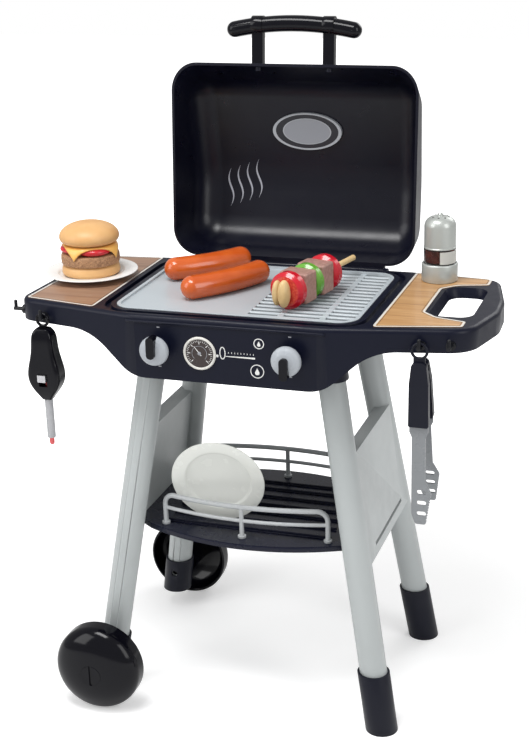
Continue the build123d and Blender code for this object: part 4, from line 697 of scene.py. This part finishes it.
def bars(turns, low, high, width):
    """Radial bars as outlines: from the low to the high radius at each turn in degrees, with the width across."""
    turns = np.radians(np.asarray(turns, float))[:, None, None]
    flat = np.array(oblong(low, high, -width / 2, width / 2))[None]
    x = flat[..., :1] * np.cos(turns) - flat[..., 1:] * np.sin(turns)
    y = flat[..., :1] * np.sin(turns) + flat[..., 1:] * np.cos(turns)
    return np.concatenate([x, y], axis=2)


def dress(rows):
    """Each row's piece gets its finish, takes the place of the row's node if it has one, and rides its body."""
    for piece, finish, body, node in rows:
        piece.data.materials.append(finish)
        if node:
            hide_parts(node)
        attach(piece, body)


print("strokes and marks ready")

# %% [markdown]
# ## The round gauge
#
# The gauge is a dark brown face in a silver ring. The ring is a turned profile with a rounded lip; the face lies
# a little deeper. Long and short ticks go round three quarters of it, and a thin needle points up to the left.

# %% Gauge
panel_y = -122.0
panel = Place((0, panel_y, 0), up=(0, -1, 0))
gauge = Place((-26.3, panel_y, 426.5), up=(0, -1, 0))
scale_start, scale_end, needle_lean = -45, 225, math.radians(128)
ring_profile = [
    (ON_AXIS, 0), (17.5, 0), (18, 0.4), (18, 1.3), (17.6, 2.0), (16.8, 2.4), (15.9, 2.2), (15.5, 1.6),
    (15.3, 1.2), (ON_AXIS, 1.2),
]
face_profile = [(ON_AXIS, 1.1), (15.2, 1.1), (15.2, 1.35), (ON_AXIS, 1.4)]
hub_profile = [(ON_AXIS, 1.3), (1.9, 1.3), (1.9, 1.8), (1.2, 2.2), (ON_AXIS, 2.3)]
gauge_rim = turned("gauge_rim", ring_profile, gauge)
face_brown = plastic("gauge_face_brown", (52, 42, 40), 0.3, vary=0.06, grain=0.0)
gauge_face = turned("gauge_face", face_profile, gauge)
long_ticks = bars(np.linspace(scale_start, scale_end, 7), 10.2, 14.2, 0.7)
short_ticks = bars(np.linspace(scale_start, scale_end, 31), 12.4, 14.2, 0.35)
needle = np.array([[(-3.0, -0.6), (9.6, -0.18), (9.6, 0.18), (-3.0, 0.6)]])
c, s = math.cos(needle_lean), math.sin(needle_lean)
needle = needle @ np.array([[c, s], [-s, c]])
gauge_marks = marks("gauge_marks", np.concatenate([long_ticks, short_ticks, needle]), gauge, 1.3, 1.55)
gauge_hub = turned("gauge_hub", hub_profile, gauge, columns=32)
scale_line = stroke("gauge_scale_line", arc((0, 0), 8.2, scale_end, scale_start, 40), 0.4, gauge, 1.3, 1.5)
dress((
    (gauge_rim, silver_line, "grill", "gauge_dial"), (gauge_face, face_brown, "grill", None),
    (gauge_marks, white_print, "grill", None), (gauge_hub, grey_print, "grill", None),
    (scale_line, grey_print, "grill", None),
))
print("gauge ticks", len(long_ticks) + len(short_ticks))

# %% [markdown]
# ## Prints on the panel
#
# Between the knobs the panel carries a printed slide scale with an almond-shaped pointer, a big and a small flame
# in rings, and a short mark above and below each knob. All of it is white or grey ink.

# %% Panel prints
def droplet(centre, size, count=24):
    """A plain flame outline: a drop whose width is sine times one plus cosine, drawn out to a tip at the top."""
    turn = np.linspace(0, 2 * np.pi, count, endpoint=False)
    half_width, widest = 0.62, 1.3
    wide = half_width * np.sin(turn) * (1 + np.cos(turn)) / widest
    return np.column_stack([centre[0] - size * wide, centre[1] - size * np.cos(turn)])[::-1]


line_width, flame_share = 0.9, 0.56
almond_turn = np.linspace(0, 2 * np.pi, 40, endpoint=False)
almond = np.column_stack([-1.3 + 2.8 * np.cos(almond_turn), 428.6 + 6.4 * np.sin(almond_turn)])
slide_ticks = [oblong(x, x + 0.5, 428.6, 430.2) for x in np.arange(5.0, 33.0, 3.4)]
prints = [
    strip("print_pointer", almond, line_width, panel),
    marks("print_slide", [[(2.0, 425.1), (34.0, 424.5), (34.0, 426.3), (2.0, 425.7)]], panel),
    marks("print_slide_ticks", slide_ticks, panel),
    marks("print_dot", [ring_line((-7.2, 425.2), 1.5, 20)], panel),
]
for name, centre, size in (("small", (38.5, 441.7), 5.2), ("large", (36.0, 411.6), 7.0)):
    prints.append(strip(f"print_{name}_ring", ring_line(centre, size), line_width, panel))
    prints.append(marks(f"print_{name}_flame", [droplet(centre, size * flame_share)], panel))
knob_x, knob_mark_heights, mark_half_long, mark_half_high = 71.7, (451.5, 408.5), 1.6, 0.6
knob_marks = [
    oblong(x - mark_half_long, x + mark_half_long, z - mark_half_high, z + mark_half_high)
    for x in (-knob_x, knob_x) for z in knob_mark_heights
]
prints.append(marks("print_knob_marks", knob_marks, panel))
for piece in prints:
    piece.data.materials.append(white_print if "knob" not in piece.name else grey_print)
    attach(piece, "grill")
print("panel prints", len(prints))

# %% [markdown]
# ## Wisps inside the lid
#
# Four equal rising waves are printed low on the left of the lid's inner face. Each is a sine wave that climbs,
# with a stroke that is thin at both ends and thickest in the middle.

# %% Wisps
crown_slope, back_slope, bend_radius = 0.2008, -0.0984, 117.0
bend_middle = np.array([0, 23.2, 422.4])
bend_start, bend_end = -40.2, -75.2


class LidPlace:
    """The lid's inner face: right along X, forward towards its front edge, up out of the face, turned open.
    Its section is a straight, an arc of the bend's radius and a second straight."""

    def __call__(self, points):
        """Points (right, forward, up) to the table's own axes, round the bend and up with the open lid."""
        points = np.asarray(points, float)
        along = points[..., 1:2]
        lean = crown_slope - np.clip((bend_start - along) / bend_radius, 0, crown_slope - back_slope)
        normal = np.concatenate([np.zeros_like(lean), np.sin(lean), -np.cos(lean)], axis=-1)
        crown_way = np.array([0, -math.cos(crown_slope), -math.sin(crown_slope)])
        back_way = np.array([0, math.cos(back_slope), math.sin(back_slope)])
        ahead, behind = np.maximum(along - bend_start, 0) * crown_way, np.maximum(bend_end - along, 0) * back_way
        closed = bend_middle - bend_radius * normal + ahead + behind + points[..., :1] * np.array([1.0, 0, 0])
        return lid_points(closed + points[..., 2:] * normal)


wisp_grey = plastic("wisp_grey", (172, 174, 184), 0.4, vary=0.04, grain=0.0)
wisp_starts = ((-100, -96), (-88, -92), (-76, -88), (-64, -84))
wisp_rise, wisp_swing, wisp_width = 46, 3.2, 2.2
share = np.linspace(0, 1, 60)
wisp_widths = wisp_width * np.sin(np.pi * np.clip(share, 0.04, 0.96))
for number, (start_x, start_y) in enumerate(wisp_starts, 1):
    path = np.column_stack([start_x + wisp_swing * np.sin(2 * np.pi * share), start_y + wisp_rise * share])
    wisp = stroke(f"lid_wisp_{number}", path, wisp_widths, LidPlace(), low=-0.05)
    dress([(wisp, wisp_grey, "lid", None)])
print("wisps", len(wisp_starts))

# %% [markdown]
# ## Wheels
#
# A wheel is one turned profile that closes on itself: tread, domed face, the recess of the pin's head, the bore,
# the hub and the hollow inside. Many columns make its gloss run smoothly, where flat facets would break it.

# %% Wheels
def wheel_loop():
    """The wheel's section as (radius, distance out of the rim's plane), anticlockwise: out over the dome,
    back through the hub. The dome is a quarter ellipse, made fuller by a power on its radius."""
    radius, inner_radius, recess, bore, hub = 50, 47, 12.2, 4.05, 15
    dome_base, dome_rise, inner_rise, fullness = 13, 23, 20, 0.8
    dome = np.linspace(0, np.pi / 2, 28)
    outer = np.column_stack([radius * np.cos(dome) ** fullness, dome_base + dome_rise * np.sin(dome)])
    outer = outer[outer[:, 0] > recess]
    inner = np.column_stack([inner_radius * np.cos(dome) ** fullness, dome_base + inner_rise * np.sin(dome)])
    inner = inner[inner[:, 0] > hub][::-1]
    tread = [(49.2, 0), (radius, 0.8), (radius, 6.5)]
    through = [(recess, outer[-1, 1]), (recess, 33), (bore, 33), (bore, -12), (hub, -12)]
    return np.vstack([tread, outer, through, inner, [(inner_radius, 6.5), (inner_radius, 0.8), (47.8, 0)]])


wheel_columns, axle_x, axle_z, wheel_y = 112, -155.8, 50.0, 135.1
spin = np.linspace(0, 2 * np.pi, wheel_columns, endpoint=False)
section = wheel_loop()
radius, out_of_rim = section[:, :1], np.repeat(section[:, 1:], wheel_columns, axis=1)
grid = np.stack([radius * np.cos(spin), radius * np.sin(spin), out_of_rim], axis=-1)
for name, end in (("front_wheel", -1), ("rear_wheel", 1)):
    place = Place((axle_x, end * wheel_y, axle_z), up=(0, end, 0))
    wheel = grid_piece(f"{name}_smooth", place(grid), along=True, sharp=40.0)
    dress([(wheel, gloss_black, name, name)])
print("wheel section", len(section), "points")

# %% [markdown]
# ## Burger
#
# Everything in the burger is rounded. The buns and the patty are turned, the patty with a rough wobble. Three
# puffy tomato slices lie round the middle, and the cheese is a thin square sheet that bends down past the edge.

# %% Buns and patty
on_film, dish_middle, dish_depth = film_z + 0.25, (-204.0, 5.5), 3.85
burger = Place((*dish_middle, on_film + dish_depth))
patty_height, dome_height = 13, 36.3
patty_tan = food("patty_tan", (128, 88, 60), (196, 152, 112), 520.0, 0.55, 0.8, 900.0)
low_bun = np.vstack([
    [(ON_AXIS, 0)], arc((28.5, 4.5), 4.5, -90, 0), arc((27.0, 7.5), 5.5, 20, 90), [(ON_AXIS, patty_height)]
])
patty_turn = np.radians(np.linspace(-80, 80, 15))
patty_side = np.column_stack([31.6 + 1.6 * np.cos(patty_turn), 6 + 6 * np.sin(patty_turn)])
patty_profile = np.vstack([[(ON_AXIS, 0), (20, 0)], patty_side, [(20, 12), (ON_AXIS, 12)]])
dome = np.linspace(0, np.pi / 2, 26)
dome_side = np.column_stack([34 * np.cos(dome) ** 0.92, 7 + 17 * np.sin(dome)])
dome_side[-1, 0] = ON_AXIS
under = np.radians(np.linspace(-90, 0, 10))
dome_under = np.column_stack([26 + 8 * np.cos(under), 7 + 7 * np.sin(under)])
dome_profile = np.vstack([[(ON_AXIS, 0)], dome_under, dome_side[1:]])


def rough(turn, height):
    """The patty's rough side: one plus two fine waves round it, each shifted with the height."""
    wave = 0.006
    return 1 + wave * np.sin(31 * turn + 2 * height) + wave * np.sin(53 * turn - 3 * height)


bun_base = turned("bun_base", low_bun, burger)
patty_piece = turned(
    "patty_rough", patty_profile + [0, patty_height], burger, columns=192, wobble=rough, sharp=60.0
)
bun_top = turned("bun_dome", dome_profile + [0, dome_height], burger, sharp=60.0)
print("bun and patty from", burger.origin)

# %% Tomato and cheese
def blob(name, centre, half, place, fullness, columns=64, rows=33):
    """A rounded body: a ball's points times the half sizes. The rings' radius, from 0 to 1, is raised to the
    power of the fullness: the lower it is, the fuller the side."""
    tilt = np.linspace(-np.pi / 2, np.pi / 2, rows)[1:-1, None]
    turn = np.linspace(0, 2 * np.pi, columns, endpoint=False)[None]
    ring, height = np.cos(tilt) ** fullness, np.repeat(np.sin(tilt), columns, axis=1)
    ball = np.stack([ring * np.cos(turn) * half[0], ring * np.sin(turn) * half[1], height * half[2]], axis=-1)
    return grid_piece(name, place(ball + np.asarray(centre, float)), first="pole", last="pole", sharp=60.0)


cheese_pale = food("cheese_pale", (240, 178, 84), (248, 192, 104), 30.0, 0.34, 0.03, coat=0.15)
slice_turns, slice_reach, slice_height, slice_half = (-48, -158, 84), 13.6, 29.9, (20.0, 20.0, 5.6)
slices = []
for number, turn in enumerate(slice_turns, 1):
    turn = math.radians(turn)
    middle = (slice_reach * math.cos(turn), slice_reach * math.sin(turn), slice_height)
    slices.append(blob(f"tomato_slice_{number}", middle, slice_half, burger, fullness=0.62))
cheese_half, corner_turn, cheese_z, cheese_thick = 30.5, math.radians(-143), 35.4, 0.0013
edge_reach, most_overhang, overhang_ease, droop, droop_power = 29.5, 5.4, 4.2, 0.55, 1.25
u, v = np.meshgrid(np.linspace(-1, 1, 41), np.linspace(-1, 1, 41), indexing="ij")
flat_x = cheese_half * (u * math.cos(corner_turn) - v * math.sin(corner_turn))
flat_y = cheese_half * (u * math.sin(corner_turn) + v * math.cos(corner_turn))
reach = np.hypot(flat_x, flat_y)
beyond = np.maximum(reach - edge_reach, 0)
hanging = edge_reach + most_overhang * (1 - np.exp(-beyond / overhang_ease))
held = np.where(reach > edge_reach, hanging, reach) / np.maximum(reach, 1e-6)
sheet = np.stack([flat_x * held, flat_y * held, cheese_z - beyond**droop_power * droop], axis=-1)
cheese_sheet = grid_piece("cheese_sheet", burger(sheet), around=False, sharp=70.0)
thickness = cheese_sheet.modifiers.new("thickness", "SOLIDIFY")
thickness.thickness, thickness.offset = cheese_thick, 1.0
dress((
    (bun_base, bread, "burger", "burger_bottom_bun"), (patty_piece, patty_tan, "burger", "burger_patty"),
    (bun_top, bread, "burger", "burger_top_bun"), (slices[0], tomato_red, "burger", "burger_tomato"),
    (slices[1], tomato_red, "burger", None), (slices[2], tomato_red, "burger", None),
    (cheese_sheet, cheese_pale, "burger", "burger_cheese"),
))
print("burger pieces", 4 + len(slices))

# %% [markdown]
# ## Mushroom on the kebab
#
# The bite at the kebab's tip is a halved mushroom: two long lobes side by side with a groove between them.

# %% Mushroom
c, s = math.cos(stick_turn), math.sin(stick_turn)
kebab = Place(stick_middle, right=(c, -s, 0), up=(s, c, 0))
left_lobe = blob("mushroom_left_lobe", (-5.4, 0, 7.2), (4.6, 13.6, 6.4), kebab, fullness=0.6)
right_lobe = blob("mushroom_right_lobe", (3.0, 0, 7.0), (6.2, 14.8, 6.8), kebab, fullness=0.6)
dress((
    (left_lobe, mushroom_cream, "kebab", "kebab_mushroom"), (right_lobe, mushroom_cream, "kebab", None),
))
print("lobes at", kebab.origin)

# %% [markdown]
# ## Pepper mill
#
# The mill is silver-painted plastic: a wide base, a clear window with peppercorns and a bare pale sticker on its
# right, and a cap with a rounded shoulder, a ring of small holes and a knob. Base and cap are turned profiles.
# The holes are not cut: each is a flat dark disc of painted shade, standing for the shade inside a hole.

# %% Mill
mill, cap_height = Place((184.0, 77.0, on_film)), 36.75
base_profile = [
    (ON_AXIS, 0), (19.0, 0), (19.7, 0.3), (20, 1.0), (20, 18.4), (19.7, 19.4), (19.0, 20.0), (ON_AXIS, 20.0)
]
cap_skirt = [(ON_AXIS, 0), (17.6, 0), (18.0, 0.4), (18.0, 1.4), (17.46, 2.0)]
cap_knob = [(3.2, 35.0), (3.0, 35.3), (3.0, 37.4), (2.2, 38.4), (ON_AXIS, 38.5)]
cap_profile = np.vstack([cap_skirt, arc((6.46, 24.0), 11.0, 0, 90, 16), cap_knob])
mill_foot = turned("mill_foot", base_profile, mill)
mill_top = turned("mill_top", cap_profile + [0, cap_height], mill)
sticker_low, sticker_high, hole_low, hole_high, hole_ring = 21.4, 35.2, 71.1, 71.55, 9
mill_sticker = stroke("mill_sticker", arc((0, 0), 18.08, -78, 4, 36), 0.12, mill, sticker_low, sticker_high)
# painted shade: the cap's holes are flat dark discs, standing for the shade inside each hole
hole_middles = ring_line((0, 0), hole_ring, 8)
holes = [ring_line(middle, 1.2, 16) for middle in hole_middles]
mill_painted_hole_shade = marks("mill_painted_hole_shade", holes, mill, hole_low, hole_high)
sticker_pale = plastic("sticker_pale", (196, 196, 190), 0.4, vary=0.04, grain=0.0)
dress((
    (mill_foot, mill_silver, "mill", "mill_base"), (mill_top, mill_silver, "mill_cap", "mill_cap"),
    (mill_sticker, sticker_pale, "mill", None), (mill_painted_hole_shade, dark_print_and_hole_shade, "mill_cap", None),
))
print("mill stands at", mill.origin)

# %% [markdown]
# ## Plates
#
# The dish and the dinner plate share one turned profile: a foot ring below, a flat middle, a short steep step
# and a nearly flat rim with a rounded edge. The dinner plate stands on its edge and leans on the rail.

# %% Dish and dinner plate
plate_profile = [
    (ON_AXIS, 1.2), (27.4, 1.2), (27.8, 0.1), (29.6, 0), (30.4, 0.4), (39.4, 3.3), (52.2, 6.7), (53.0, 7.3),
    (52.7, 7.9), (51.8, 8.0), (39.0, 6.7), (37.6, 6.2), (36.4, 4.4), (35.2, 3.7), (ON_AXIS, 3.6),
]
dish = Place((*dish_middle, on_film))
dish_piece = turned("dish_smooth", plate_profile, dish, columns=128, sharp=50.0)
tilt, twist = math.radians(103.0), math.radians(7.7)
plate_up = (math.sin(twist) * math.sin(tilt), -math.cos(twist) * math.sin(tilt), math.cos(tilt))
dinner = Place((-36.6, -53.0, 255.7), right=(math.cos(twist), math.sin(twist), 0), up=plate_up)
dinner_piece = turned("dinner_plate_smooth", plate_profile, dinner, columns=128, sharp=50.0)
dress((
    (dish_piece, dish_white, "dish", "serving_dish"),
    (dinner_piece, plate_white, "dinner_plate", "dinner_plate"),
))
print("plates stand at", dish.origin, dinner.origin)

# %% [markdown]
# ## Floor
#
# The object stands on a pale plain floor that runs far out, so that only its soft shadow shows. For the camera
# the floor glows a little round the object, and as white as the page further out.

# %% Floor and its finish
floor_half, near_glow, page_glow, near_reach, page_reach = 6, 0.32, 1.0, 0.45, 1.0
graph = Graph("studio_floor")
paper = graph.blend(graph.noise(scale=3.0, detail=2.0), (0.90, 0.90, 0.90, 1), (0.93, 0.93, 0.93, 1))
graph.feed(paper, "Base Color")
settle(graph.shader, {"Roughness": 0.75, "Specular IOR Level": 0.25, "Emission Color": WHITE})
away, seen = graph.new("ShaderNodeVectorMath"), graph.new("ShaderNodeMath")
away.operation, seen.operation = "LENGTH", "MULTIPLY"
graph.link(graph.where(), away.inputs[0])
glow = graph.ranged(away.outputs["Value"], near_glow, page_glow, near_reach, page_reach)
graph.link(graph.new("ShaderNodeLightPath").outputs["Is Camera Ray"], seen.inputs[0])
graph.link(glow, seen.inputs[1])
graph.feed(seen.outputs[0], "Emission Strength")
floor_mesh = bpy.data.meshes.new("floor")
floor_corners = oblong(-floor_half, floor_half, -floor_half, floor_half)
floor_mesh.from_pydata([(x, y, 0) for x, y in floor_corners], [], [(0, 1, 2, 3)])
floor = bpy.data.objects.new("floor", floor_mesh)
floor.data.materials.append(graph.material)
scene.collection.objects.link(floor)
print("floor ready")
